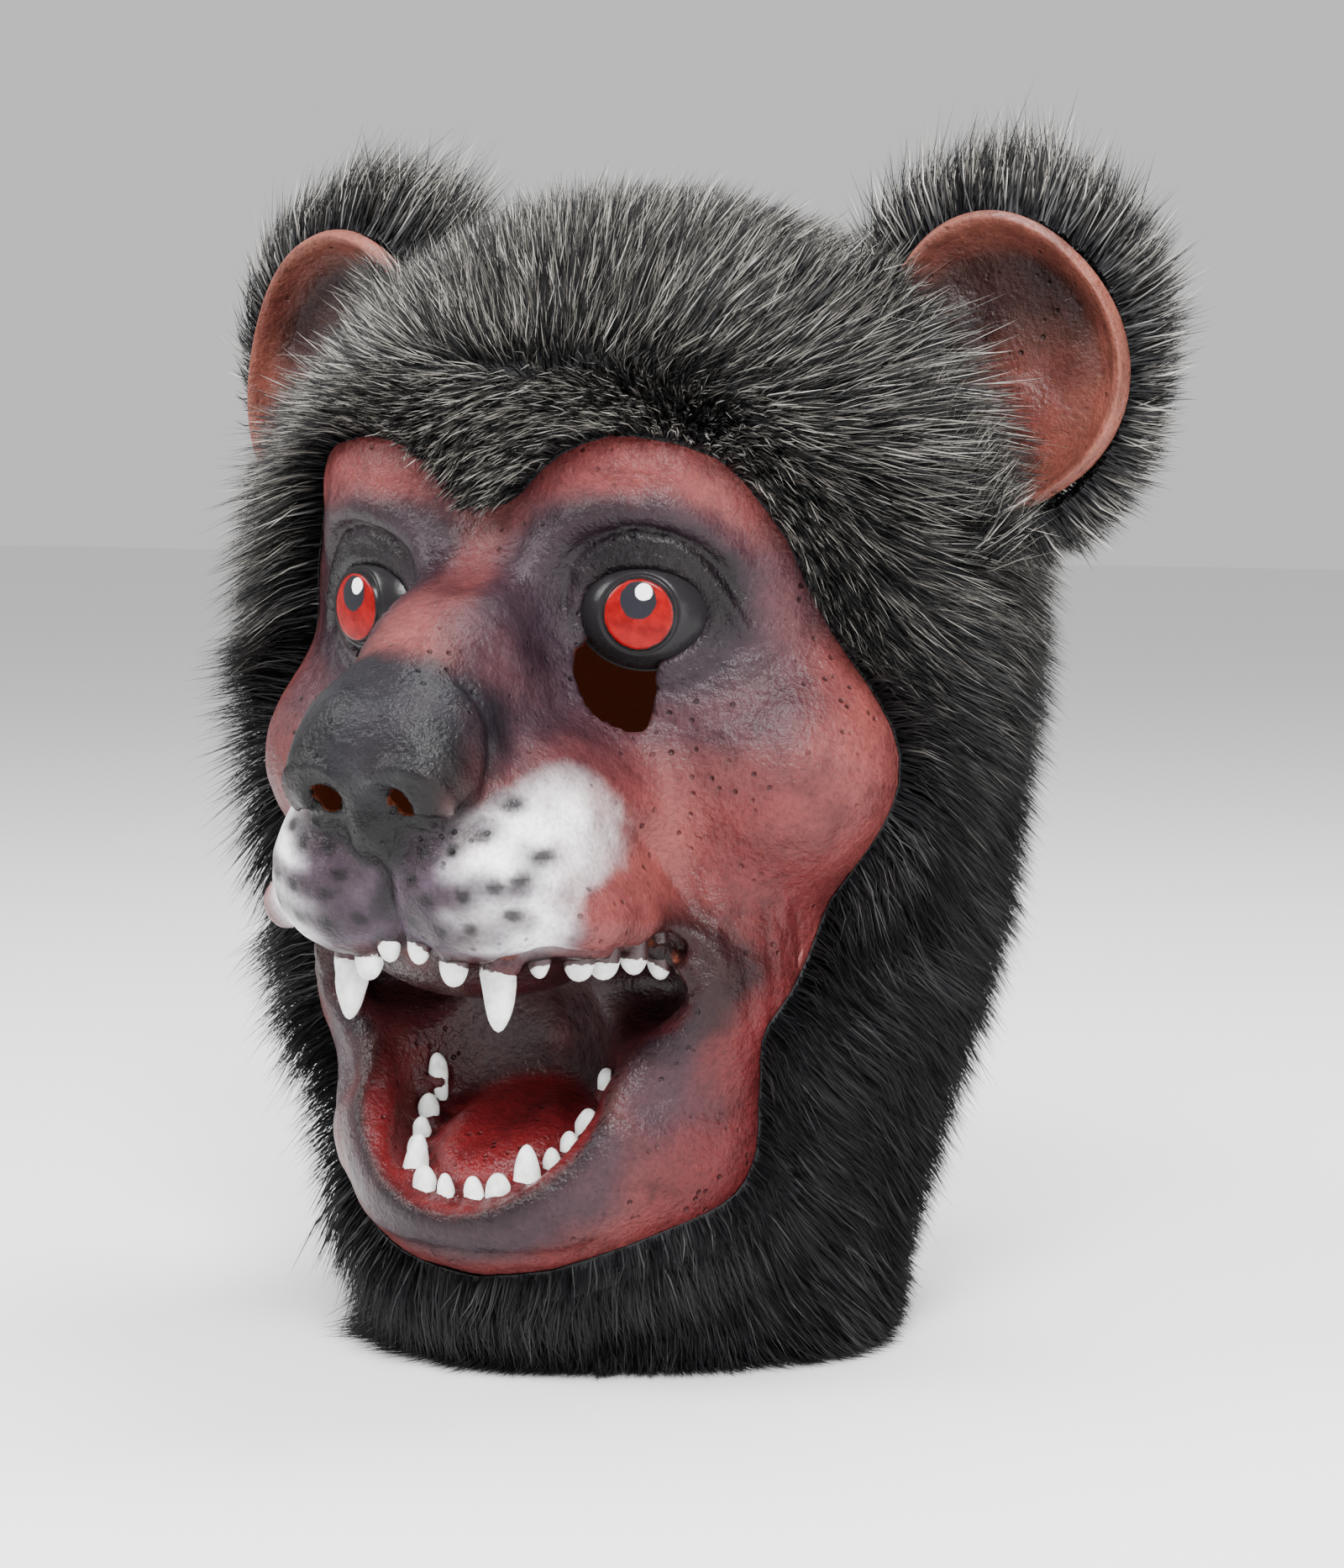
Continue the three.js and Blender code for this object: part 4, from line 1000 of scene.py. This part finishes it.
FUR_SECTORS = 5
STRANDS_A_SECTOR = 37000
LEAST_PILE = 0.3

# The backing's depth as a share of the pile's, how far its two sides lie off the skin, and its hem
BACKING_SHARE = 0.33
BACKING_LIFT = (0.5, 0.2)
BACKING_HEM = 1.0

# Strands: depth to the pile's, lean to the depth, width, and how much denser the first rings stand
STRAND_DEPTHS = (0.62, 1.06)
STRAND_RUNS = (0.35, 0.95)
STRAND_WIDTHS = (0.3, 0.62)
EDGE_DENSITIES = ((4, 1.6), (2, 3.0))

# The strands' tips are paler toward the crown, a painted highlight where light falls on the top; the
# frosted tips themselves are the fur's own: the lowest share, and where it starts and ends
CROWN_HIGHLIGHT = (0.54, 120, 275)

# How deep the pile stands at places of the hood, as shares of the fur's depth: centre, reach and change
PILE_CHANGES = [
    ((0, 20, 320), 70, -0.1),
    ((-25, -60, 25), 60, 0.45),
    ((-90, -30, 140), 75, 1.15),
    ((-85, -30, 60), 60, 0.4),
    ((-85, -40, 210), 60, 0.7),
    ((90, -30, 140), 60, 0.3),
    ((84, -6, 262), 45, 0.55),
    ((-84, -6, 262), 45, 0.55),
    ((75, 60, 0), 75, -0.65),
    ((-75, 60, 0), 75, -0.65),
]


def pile_at(points):
    """Depth of the pile over the skin, as a share of the fur's depth."""
    pile = np.ones(points.shape[:-1])
    for centre, reach, change in PILE_CHANGES:
        far = np.linalg.norm(points - centre, axis=-1)
        pile = pile + change * smooth(far, reach, reach * 0.25)
    return np.maximum(pile, LEAST_PILE)


def build_hood():
    """The hood's backing, and its strands in sectors round the head."""
    rng = np.random.default_rng(11)
    v = np.linspace(0.0, 1, FUR_RINGS)
    skin = sample_skin(v)
    normals = grid_normals(skin)
    rise = smooth(v, 0.0, 0.1)[None, :, None] * smooth(v, 1.0, 0.9)[None, :, None]
    pile = np.minimum(pile_at(skin), 1.0)[..., None]
    lift, under = BACKING_LIFT
    outer = skin + normals * (FUR_DEPTH * BACKING_SHARE * rise * pile + lift)
    inner = skin + normals * under
    for grid in (outer, inner):
        grid[..., 2] = np.maximum(grid[..., 2], BACKING_HEM)
    points, faces = walled(outer, inner)
    fur_piece("fur_backing", points, faces, np.zeros(len(points)), np.zeros(len(points)), "fur_hood")
    weight = np.ones(skin.shape[:2])
    for rings, density in EDGE_DENSITIES:
        weight[:, :rings] = density
    total = FUR_SECTORS * STRANDS_A_SECTOR
    roots, norm, flow, share = roots_on(skin, normals, rng, total, weight)
    pile = pile_at(roots) * (0.7 + 0.3 * smooth(share, 0.0, 0.06))
    depth = FUR_DEPTH * pile * rng.uniform(*STRAND_DEPTHS, total)

    # The pile runs back from the face, overhangs its edge a little, and hangs down at the sides
    down = np.array([0, 0, -1.0])
    sideways = smooth(roots[:, 2], 300, 220)[:, None]
    away = smooth(share, 0.0, 0.09)[:, None] * 1.45 - 0.45
    flow = unit(flow * away + down * (0.12 + 0.75 * sideways))
    run = depth * rng.uniform(*STRAND_RUNS, total) * (0.6 + 0.4 * smooth(share, 0.0, 0.1))
    width = rng.uniform(*STRAND_WIDTHS, total)
    turn = np.arctan2(roots[:, 0], -(roots[:, 1] - HEAD_SET_BACK))
    order = np.argsort(turn, kind="stable")
    least, low, high = CROWN_HIGHLIGHT
    for sector in range(FUR_SECTORS):
        pick = order[sector * STRANDS_A_SECTOR:(sector + 1) * STRANDS_A_SECTOR]
        points, faces, along, tone = strand_mesh(
            rng, *(values[pick] for values in (roots, norm, flow, depth, run, width)))
        # Painted highlight: the strands' tips grow paler with height toward the crown
        crown_highlight = least + (1 - least) * smooth(roots[pick, 2], low, high)
        tone = tone * np.repeat(crown_highlight, 5)
        fur_piece(f"fur_pile_{sector + 1}", points, faces, along, tone, "fur_hood")


# ---- Ears ----

EAR_PLACE = np.array([EAR_SPREAD / 2, HEAD_SET_BACK - EAR_AHEAD, EAR_LEVEL])

# From the bowl's middle over the rim to the back's: shares of the radius, of the dish and of the thickness
EAR_PROFILE = [
    (0, 1, 0), (0.45, 0.98, 0), (0.74, 0.82, 0), (0.86, 0.4, 0), (0.91, 0.0, 0), (0.955, -0.14, 0),
    (1, 0.0, 0.8), (0.93, 0.3, 1.3), (0.74, 0.8, 1.2), (0.4, 1.0, 1.2), (0, 1, 1.2),
]
EAR_SIDES = 96
EAR_STATIONS = 46


def on_ear(side, local):
    """Points of the ear's own axes, drawn facing -Y, at their place on the head."""
    return turned(local, side * EAR_TURN) + EAR_PLACE * [side, 1, 1]


def ear_surface(side, stations, out, dip, back):
    """The ear's points: an egg-shaped dish, crumpled, with a ridge down its bowl."""
    angle = 2 * np.pi * np.arange(EAR_SIDES) / EAR_SIDES
    a, o = np.meshgrid(angle, out, indexing="ij")
    egg = 1 + 0.05 * np.cos(3 * a + 0.6) * o + 0.03 * np.sin(2 * a)
    x = EAR_WIDTH / 2 * o * np.cos(a) * egg
    z = EAR_HEIGHT / 2 * o * np.sin(a) * egg
    y = dip[None] * EAR_DISH + back[None] * EAR_THICKNESS
    bowl = np.stack([x, 0 * x, z], -1)
    crumple = value_noise(bowl, 13, 81) * 1.8 + value_noise(bowl, 6, 82) * 0.7
    ridge = np.exp(-((x * side + 10 + 0.25 * z) / 4) ** 2) * smooth(np.abs(z + 6), 34, 8) * 3.2
    front = (stations < 4)[None]
    y = y + np.where(front, crumple * o * (1.1 - o) * 3 - ridge * (1 - o**2), crumple * 0.4 * (1 - o))
    return np.stack([x, y, z], -1).reshape(-1, 3)


def ear_paint(side, verts, normals):
    """Brown skin, with painted shade in the top of the bowl under the rim, paler on the rim and black
    behind.
    """
    local = turned(verts - EAR_PLACE * [side, 1, 1], -side * EAR_TURN)
    r = np.hypot(local[:, 0] / (EAR_WIDTH / 2), local[:, 2] / (EAR_HEIGHT / 2))
    colour = np.tile(EAR_SKIN, (len(verts), 1))
    # Painted shade: the top of the bowl is darkened where the rim overhangs it
    colour = mix(colour, EAR_BOWL_SHADE, 0.92 * smooth(r, 0.9, 0.7) * smooth(local[:, 2], -24, 20))
    colour = mix(colour, RUDDY, 0.5 * smooth(r, 0.8, 0.3) * smooth(local[:, 2], 10, -20))
    colour = mix(colour, EAR_RIM, 0.6 * smooth(r, 0.86, 0.96))
    colour = mix(colour, DARK * 0.5, smooth(turned(normals, -side * EAR_TURN)[:, 1], 0.15, 0.5))
    colour *= (1 + 0.22 * value_noise(verts, 9, 83) + 0.12 * value_noise(verts, 3, 84))[:, None]
    return np.clip(colour, LEAST_PAINT, 1)


def build_ear(side, name):
    """One bare ear."""
    out, dip, back = (np.array(c, float) for c in zip(*EAR_PROFILE))
    station = np.arange(len(out))
    fine = np.linspace(0, len(out) - 1, EAR_STATIONS)
    out, dip, back = (np.interp(fine, station, c) for c in (out, dip, back))
    for row in (out, dip, back):
        row[1:-1] = (row[:-2] + 2 * row[1:-1] + row[2:]) / 4
    points = on_ear(side, ear_surface(side, fine, out, dip, back))
    quads, _, _ = ring_quads(EAR_SIDES, len(out))
    piece = make_object(f"ear_{name}", points, quads.tolist(), ["latex_head"], latex_material())
    weld(piece, 0.00002)
    verts = own_points(piece)
    normals = np.array([v.normal for v in piece.data.vertices])
    dry = np.zeros(len(verts))
    give_paint(piece, ear_paint(side, verts, normals), dry, dry)


# The strands on an ear's back and rim, and those of the head's pile that lap over its front
EAR_STRANDS = 16000
EAR_COVER_STRANDS = 3000

# The lapping strands end about this line on the ear's face, across and up, and lean this way
EAR_COVER_LINE = [(-21, 34), (-19, 12), (-8, -4), (5, -18), (13, -36)]
EAR_COVER_LEAN = (0.7, 0.7)
EAR_STRAND_WIDTHS = (0.3, 0.6)


def ear_back_strands(side, rng):
    """Roots, normals, flow, depth and lean of the strands on an ear's back and rim, in its axes."""
    n = EAR_STRANDS
    angle = rng.uniform(0, 2 * np.pi, n)
    radius = np.sqrt(rng.uniform(0.0, 1.0, n))
    rim = rng.uniform(0, 1, n) < 0.5
    radius = np.where(rim, rng.uniform(0.93, 1.01, n), radius)
    x, z = EAR_WIDTH / 2 * radius * np.cos(angle), EAR_HEIGHT / 2 * radius * np.sin(angle)
    dip = np.interp(radius, [0, 0.4, 0.74, 0.93, 1.0], [1, 1.0, 0.8, 0.3, 0.02])
    y = dip * EAR_DISH + EAR_THICKNESS * 1.25 + rng.uniform(0, 2.0, n)
    outward = np.stack([np.cos(angle), np.zeros(n), np.sin(angle)], -1)
    rear = np.array([0, 1.0, 0])
    edge = radius[:, None] ** 4
    normals = unit(outward * edge * 1.6 + rear * (1.1 - 0.75 * edge))
    flow = unit(outward * 0.6 + [0, 0.1, 0.45] + rear * 0.5 * edge)
    above = smooth(np.sin(angle), -0.3, 0.8)
    tuft = smooth(np.sin(angle) - 0.5 * side * np.cos(angle), 0.5, 1.1)
    depth = (16 + 12 * above + 9 * tuft) * rng.uniform(0.6, 1.1, n) * (0.7 + 0.3 * radius**2)
    run = depth * rng.uniform(0.2, 0.75, n)
    normals, flow = (turned(v, side * EAR_TURN) for v in (normals, flow))
    return np.stack([x, y, z], -1), normals, flow, depth, run


def ear_cover_strands(side, rng):
    """The same of the strands of the head's pile that lap over the ear's front."""
    m = EAR_COVER_STRANDS
    cover = curve(EAR_COVER_LINE, 12)
    pick = cover[rng.integers(0, len(cover), m)]
    lean = unit(np.array(EAR_COVER_LEAN))
    back = rng.uniform(14, 30, (m, 1))
    flat = pick - lean * back + rng.normal(0, 2.0, (m, 2))
    roots = np.stack([flat[:, 0] * side, rng.uniform(-10, 1, m), flat[:, 1]], -1)
    ahead = unit(np.stack([lean[0] * side + rng.normal(0, 0.25, m), np.full(m, -0.25),
                           lean[1] + rng.normal(0, 0.25, m)], -1))
    flow = np.tile([0, -0.3, 1.0], (m, 1))
    depth = back[:, 0] * rng.uniform(0.9, 1.3, m)
    return roots, turned(ahead, side * EAR_TURN), flow, depth, rng.uniform(0, 3, m)


def build_ear_fur(side, name):
    """One ear's pile."""
    rng = np.random.default_rng(21 if side > 0 else 22)
    parts = ear_back_strands(side, rng), ear_cover_strands(side, rng)
    local, normals, flow, depth, run = (np.concatenate(pair) for pair in zip(*parts))
    width = rng.uniform(*EAR_STRAND_WIDTHS, len(local))
    data = strand_mesh(rng, on_ear(side, local), normals, flow, depth, run, width)
    fur_piece(f"ear_pile_{name}", *data, f"fur_ear_{name}")


# ---- Eyes ----

EYE_SIDES = 64
IRIS_RADIUS = 9.2

# Discs painted on the iris: across, up and radius
PUPIL = (0.0, 3.7, 5.0)
GLINT = (1.5, 5.8, 2.4)


def build_eye(side, name):
    """A ball whose front carries a flat painted disc in a groove."""
    half = (EYE_WIDTH / 2 - LID_THICKNESS / 2 + 1, 0.42 * EYE_OPENING,
            EYE_OPENING / 2 - LID_THICKNESS / 4 + 1)
    back = 0.2 * EYE_OPENING
    groove = IRIS_RADIUS + np.array([0.25, 0.6, 1.0, 1.4])
    radius = np.concatenate([np.linspace(0, IRIS_RADIUS, 12), groove, np.linspace(11, 15.5, 10)])
    angle = 2 * np.pi * np.arange(EYE_SIDES) / EYE_SIDES
    a, r = np.meshgrid(angle, radius, indexing="ij")
    x, z = r * np.cos(a), r * np.sin(a)
    x = x * np.where(r > 11, 1 + (r - 11) * 0.05, 1)
    dome = back - half[1] * np.sqrt(np.maximum(1 - (x / half[0]) ** 2 - (z / half[2]) ** 2, 0.0))
    disc_front = back - half[1] + 0.9
    y = np.where(r <= IRIS_RADIUS, disc_front + 0.012 * r**2, dome)
    y = y + 0.9 * np.exp(-((r - IRIS_RADIUS - 0.8) / 0.5) ** 2)
    local = np.stack([x, y, z], -1)
    points = turned(local.reshape(-1, 3), side * LID_TURN) + LID_PLACE * [side, 1, 1]
    quads, _, _ = ring_quads(EYE_SIDES, len(radius))
    piece = make_object(f"eyeball_{name}", points, quads.tolist(), [f"eye_{name}"], eye_material())
    weld(piece, 0.00002)
    verts = own_points(piece)
    flat = turned(verts - LID_PLACE * [side, 1, 1], -side * LID_TURN)
    give_floats(piece, "across", flat[:, 0])
    give_floats(piece, "up", flat[:, 2])


# ---- Teeth ----

TOOTH_SIDES = 18
TOOTH_RINGS = 12

# How far down a tooth it reaches its full width, and how round its tip is
TOOTH_BLUNTNESS = {True: (0.7, 0.55), False: (0.42, 0.5)}


def build_teeth():
    """All teeth as one piece, each a lumpy cone that runs into its gum."""
    rng = np.random.default_rng(31)
    all_points, all_faces, roots = [], [], []
    around = 2 * np.pi * np.arange(TOOTH_SIDES) / TOOTH_SIDES
    t = np.linspace(0, 1, TOOTH_RINGS) ** 1.5
    for tooth in TEETH:
        sign, canine = tooth["sign"], tooth["canine"]
        length = TOOTH_REACH[tooth["jaw"], canine]
        width = tooth["width"] * TOOTH_SWELL[tooth["jaw"], tooth["place"]]
        width *= rng.uniform(0.95, 1.05)
        blunt, power = TOOTH_BLUNTNESS[canine]
        shape = (1 - (1 - np.minimum(t / blunt, 1)) ** 1.9) ** power
        a, s = np.meshgrid(around, shape, indexing="ij")
        hook = (-2.5 if sign > 0 else 1.5) * (canine * (1 - t[None]) ** 2)
        x = width / 2 * s * np.cos(a)
        y = width * 0.4 * s * np.sin(a) + hook
        z = np.broadcast_to(sign * t * length, s.shape)
        lump = value_noise(np.stack([x, y, z], -1) + tooth["tip"], 3.0, 91) * 0.35
        grow = 1 + lump / (width / 2)
        tilt = math.radians(rng.uniform(-5, 5))
        local = np.stack([x * grow * math.cos(tilt) + z * math.sin(tilt), y * grow, z * math.cos(tilt)], -1)
        points = (local + tooth["tip"]).reshape(-1, 3)
        quads, _, _ = ring_quads(TOOTH_SIDES, TOOTH_RINGS, sum(len(p) for p in all_points))
        all_points.append(points)
        # The corner that comes first decides how a cell splits in two
        all_faces += quads[:, [0, 3, 2, 1] if sign > 0 else [1, 2, 3, 0]].tolist()
        gum = head_distance(*at(points))
        roots.append(smooth(gum, 2.2, 0.6))
    nodes = [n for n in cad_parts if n.startswith("tooth_")]
    piece = make_object("teeth", np.concatenate(all_points), all_faces, nodes, tooth_material())
    give_floats(piece, "gum", np.concatenate(roots))
    weld(piece, 0.00001)


# ---- Materials ----

def new_material(name):
    material = bpy.data.materials.new(name)
    material.use_nodes = True
    tree = material.node_tree
    return material, tree, tree.nodes["Principled BSDF"]


def node(tree, kind, **values):
    """A new node with its inputs or settings given by name."""
    made = tree.nodes.new(kind)
    for key, value in values.items():
        if key in made.inputs:
            made.inputs[key].default_value = value
        else:
            setattr(made, key, value)
    return made


def feed(tree, socket, value):
    """Links an output to a socket, or sets the socket to a number or a colour."""
    if hasattr(value, "is_output"):
        tree.links.new(value, socket)
    elif isinstance(value, tuple) and socket.type == "RGBA":
        socket.default_value = (*value, 1)
    else:
        socket.default_value = value


def dress(tree, shader, sockets):
    """Feeds the shader's own sockets."""
    for name, value in sockets.items():
        feed(tree, shader.inputs[name], value)


def attribute(tree, name, output="Fac"):
    return node(tree, "ShaderNodeAttribute", attribute_name=name).outputs[output]


def surface(tree):
    return node(tree, "ShaderNodeTexCoord").outputs["Object"]


def calc(tree, operation, *values, clamp=False):
    """The result of a node of mathematics."""
    made = node(tree, "ShaderNodeMath", operation=operation, use_clamp=clamp)
    for socket, value in zip(made.inputs, values):
        feed(tree, socket, value)
    return made.outputs[0]


def mix_colour(tree, factor, a, b, kind="MIX"):
    made = node(tree, "ShaderNodeMix", data_type="RGBA", blend_type=kind)
    sockets = {s.identifier: s for s in made.inputs}
    for key, value in (("Factor_Float", factor), ("A_Color", a), ("B_Color", b)):
        feed(tree, sockets[key], value)
    return next(s for s in made.outputs if s.identifier == "Result_Color")


def ramp(tree, factor, stops):
    """A colour ramp. A stop's colour may be one number for a grey."""
    made = node(tree, "ShaderNodeValToRGB")
    band = made.color_ramp
    while len(band.elements) < len(stops):
        band.elements.new(0.5)
    for element, (place, colour) in zip(band.elements, stops):
        element.position = place
        element.color = (*colour, 1) if isinstance(colour, tuple) else (colour, colour, colour, 1)
    feed(tree, made.inputs["Fac"], factor)
    return made.outputs["Color"]


def noise(tree, place, scale, detail=3.0, roughness=0.6):
    made = node(tree, "ShaderNodeTexNoise", Scale=scale, Detail=detail, Roughness=roughness)
    feed(tree, made.inputs["Vector"], place)
    return made.outputs["Fac"]


def bump(tree, height, distance, strength, below=None):
    """A bumped normal, laid over the one below."""
    made = node(tree, "ShaderNodeBump", Strength=strength, Distance=distance)
    feed(tree, made.inputs["Height"], height)
    if below is not None:
        feed(tree, made.inputs["Normal"], below)
    return made.outputs["Normal"]


@cache
def latex_material():
    """Painted latex: clouded and speckled paint, pits, a satin gloss that is wetter in the mouth, and a
    painted glow on the inner side.
    """
    material, tree, shader = new_material("painted_latex")
    place = surface(tree)
    paint = attribute(tree, "paint", "Color")
    wet = attribute(tree, "wet")
    cloud = noise(tree, place, 60, 4, 0.65)
    grain = noise(tree, place, 700)
    shade = ramp(tree, cloud, [(0.34, (0.5, 0.46, 0.5)), (0.5, 1), (0.7, (1.25, 1.15, 1.1))])
    colour = mix_colour(tree, 0.75, paint, shade, "MULTIPLY")
    specks = ramp(tree, grain, [(0.36, (0.5, 0.46, 0.48)), (0.5, 1), (0.66, 1.3)])
    colour = mix_colour(tree, 0.4, colour, specks, "MULTIPLY")
    pores = node(tree, "ShaderNodeTexVoronoi", Scale=230.0)
    feed(tree, pores.inputs["Vector"], place)
    pits = ramp(tree, pores.outputs["Distance"], [(0.1, 0), (0.2, 1)])
    sparse = ramp(tree, noise(tree, place, 45, 2), [(0.46, 0), (0.6, 1)])
    pitted = mix_colour(tree, sparse, (1, 1, 1), pits)
    rough = calc(tree, "MULTIPLY_ADD", cloud, 0.18, 0.24)
    normal = None
    for height, distance, strength in ((pitted, 0.0008, 0.8), (grain, 0.0007, 0.75),
                                       (noise(tree, place, 190, 5), 0.0018, 0.5)):
        normal = bump(tree, height, distance, strength, normal)
    dress(tree, shader, {
        "Base Color": mix_colour(tree, 0.7, colour, pitted, "MULTIPLY"),
        "Roughness": calc(tree, "SUBTRACT", rough, calc(tree, "MULTIPLY", wet, 0.16), clamp=True),
        "Specular IOR Level": 0.2,
        # The glow is painted light: a faint emission of the paint's colour on the inner side of the wall
        "Emission Strength": calc(tree, "MULTIPLY", attribute(tree, "glow"), 0.12),
        "Emission Color": paint,
        "Subsurface Weight": 0.05,
        "Subsurface Radius": (0.003, 0.001, 0.0006),
        "Subsurface Scale": 0.6,
        "Normal": normal,
    })
    return material


@cache
def fur_material():
    """Black pile whose paler strands have frosted tips."""
    material, tree, shader = new_material("black_frosted_pile")
    along = attribute(tree, "along")
    tone = attribute(tree, "tone")
    patch = noise(tree, surface(tree), 26, 2)
    tips = ramp(tree, tone, [
        (0.0, (0.005, 0.005, 0.006)), (0.4, (0.01, 0.01, 0.011)), (0.56, (0.05, 0.047, 0.043)),
        (0.76, (0.25, 0.235, 0.21)), (1.0, (0.64, 0.61, 0.56)),
    ])
    reach = calc(tree, "MULTIPLY", along, calc(tree, "ADD", patch, 0.35), clamp=True)
    frosted = ramp(tree, reach, [(0.1, 0), (0.62, 1)])
    dress(tree, shader, {
        "Base Color": mix_colour(tree, frosted, (0.005, 0.005, 0.006), tips),
        "Roughness": ramp(tree, tone, [(0, 0.5), (1, 0.36)]),
        "Specular IOR Level": 0.18,
    })
    return material


@cache
def eye_material():
    """A glossy red iris with a dark pupil and a white glint on a black ball."""
    material, tree, shader = new_material("painted_eye")
    across = attribute(tree, "across")
    up = attribute(tree, "up")
    place = surface(tree)
    wobble = calc(tree, "SUBTRACT", noise(tree, place, 320), 0.5)

    def disc(x, z, radius, soft=0.25):
        dx, dz = calc(tree, "SUBTRACT", across, x), calc(tree, "SUBTRACT", up, z)
        square = calc(tree, "ADD", calc(tree, "MULTIPLY", dx, dx), calc(tree, "MULTIPLY", dz, dz))
        far = calc(tree, "ADD", calc(tree, "SQRT", square), wobble)
        return calc(tree, "DIVIDE", calc(tree, "SUBTRACT", radius, far), soft, clamp=True)

    reds = [(0.35, (0.12, 0.001, 0.0015)), (0.6, (0.22, 0.002, 0.003))]
    blotch = ramp(tree, noise(tree, place, 240), reds)
    colour = mix_colour(tree, disc(0, 0, IRIS_RADIUS), (0.012, 0.011, 0.012), blotch)
    colour = mix_colour(tree, disc(*PUPIL), colour, (0.014, 0.014, 0.018))
    dress(tree, shader, {
        "Base Color": mix_colour(tree, disc(*GLINT), colour, (0.85, 0.85, 0.85)),
        "Roughness": ramp(tree, noise(tree, place, 400, 2), [(0, 0.18), (1, 0.34)]),
        "Specular IOR Level": 0.14,
        "Normal": bump(tree, noise(tree, place, 500), 0.0003, 0.3),
    })
    return material


def tooth_material():
    """White paint, with a ragged dark edge at the gum."""
    material, tree, shader = new_material("painted_teeth")
    place = surface(tree)
    gum = attribute(tree, "gum")
    stray = calc(tree, "MULTIPLY", calc(tree, "SUBTRACT", noise(tree, place, 520, 4), 0.5), 1.1)
    enamel = ramp(tree, noise(tree, place, 260, 4), [(0.3, (0.5, 0.5, 0.49)), (0.62, (0.82, 0.82, 0.81))])
    edge = ramp(tree, calc(tree, "ADD", gum, stray), [(0.45, 0), (0.6, 1)])
    dress(tree, shader, {
        "Base Color": mix_colour(tree, edge, enamel, (0.035, 0.012, 0.014)),
        "Roughness": ramp(tree, noise(tree, place, 300), [(0, 0.3), (1, 0.5)]),
        "Normal": bump(tree, noise(tree, place, 420, 4), 0.0008, 0.5),
    })
    return material


# ---- Building ----

def build_face():
    """The whole bare face with its inner side, wrinkled and painted."""
    points, faces = face_mesh()
    normals = vertex_normals(points, faces)
    base = head_distance(*at(points))
    outer = smooth(base, -1.7, -0.8)
    points = points - normals * (outer * wrinkle_depth(points))[:, None]
    lumps = 0.35 * value_noise(points, 9, 51) + 0.18 * value_noise(points, 4, 52)
    points = points + normals * (outer * lumps)[:, None]
    piece = make_object("latex_face", points, faces, ["latex_head"], latex_material())
    give_paint(piece, *paint_face(points, normals))


FLOOR_SIZE = 12
WORLD_STRENGTH = 0.72
LAMP_TARGET = Vector((0, -0.03, 0.16))

# Place, size and power of each lamp
LAMPS = [
    ((0.55, -0.95, 1.25), 0.5, 52), ((-0.9, -0.8, 1.0), 0.6, 22), ((0.2, 0.5, 1.5), 0.8, 34),
    ((1.0, -0.5, 0.3), 0.6, 6),
]


def build_floor_and_lights():
    bpy.ops.mesh.primitive_plane_add(size=FLOOR_SIZE)
    floor = bpy.context.object
    floor.name = "floor"
    material, tree, shader = new_material("pale_floor")
    dress(tree, shader, {"Base Color": (0.86, 0.86, 0.86), "Roughness": 0.75})
    floor.data.materials.append(material)
    world = bpy.data.worlds.new("studio")
    bpy.context.scene.world = world
    world.use_nodes = True
    background = world.node_tree.nodes["Background"]
    background.inputs[0].default_value = (1, 1, 1, 1)
    background.inputs[1].default_value = WORLD_STRENGTH
    for i, (place, size, watts) in enumerate(LAMPS):
        light = bpy.data.lights.new(f"lamp_{i}", "AREA")
        light.size = size
        light.energy = watts
        lamp = bpy.data.objects.new(f"lamp_{i}", light)
        lamp.location = place
        lamp.rotation_euler = (LAMP_TARGET - Vector(place)).to_track_quat("-Z", "Y").to_euler()
        bpy.context.scene.collection.objects.link(lamp)


# The photo's view: the camera's turn and rise in degrees, its distance and the level it aims at
CAMERA_TURN = 30.0
CAMERA_RISE = 5.0
CAMERA_DISTANCE = 1150.0
CAMERA_AIM = 154.0
PIXELS_PER_MM = 4.2
PICTURE_HEIGHT = 1866
AIM_RIGHT = 45 / PIXELS_PER_MM
SENSOR = 36


def build_camera():
    az, el = math.radians(CAMERA_TURN), math.radians(CAMERA_RISE)
    right = np.array([math.cos(az), math.sin(az), 0])
    back = np.array([math.sin(az) * math.cos(el), -math.cos(az) * math.cos(el), math.sin(el)])
    up = np.cross(back, right)
    place = np.array([0, AXIS_OFFSET, CAMERA_AIM]) + right * AIM_RIGHT + back * CAMERA_DISTANCE
    data = bpy.data.cameras.new("camera")
    data.sensor_fit = "VERTICAL"
    data.sensor_height = SENSOR
    data.lens = SENSOR * PIXELS_PER_MM * CAMERA_DISTANCE / PICTURE_HEIGHT
    data.clip_start = 0.05
    camera = bpy.data.objects.new("camera", data)
    rows = np.eye(4)
    rows[:3, 0], rows[:3, 1], rows[:3, 2], rows[:3, 3] = right, up, back, place * MM
    camera.matrix_world = Matrix(rows.tolist())
    bpy.context.scene.collection.objects.link(camera)
    bpy.context.scene.camera = camera


SIDES = ((1, "left"), (-1, "right"))

build_face()
build_back()
for side, name in SIDES:
    build_ear(side, name)
    build_eye(side, name)
    build_ear_fur(side, name)
build_teeth()
build_hood()
build_floor_and_lights()
build_camera()
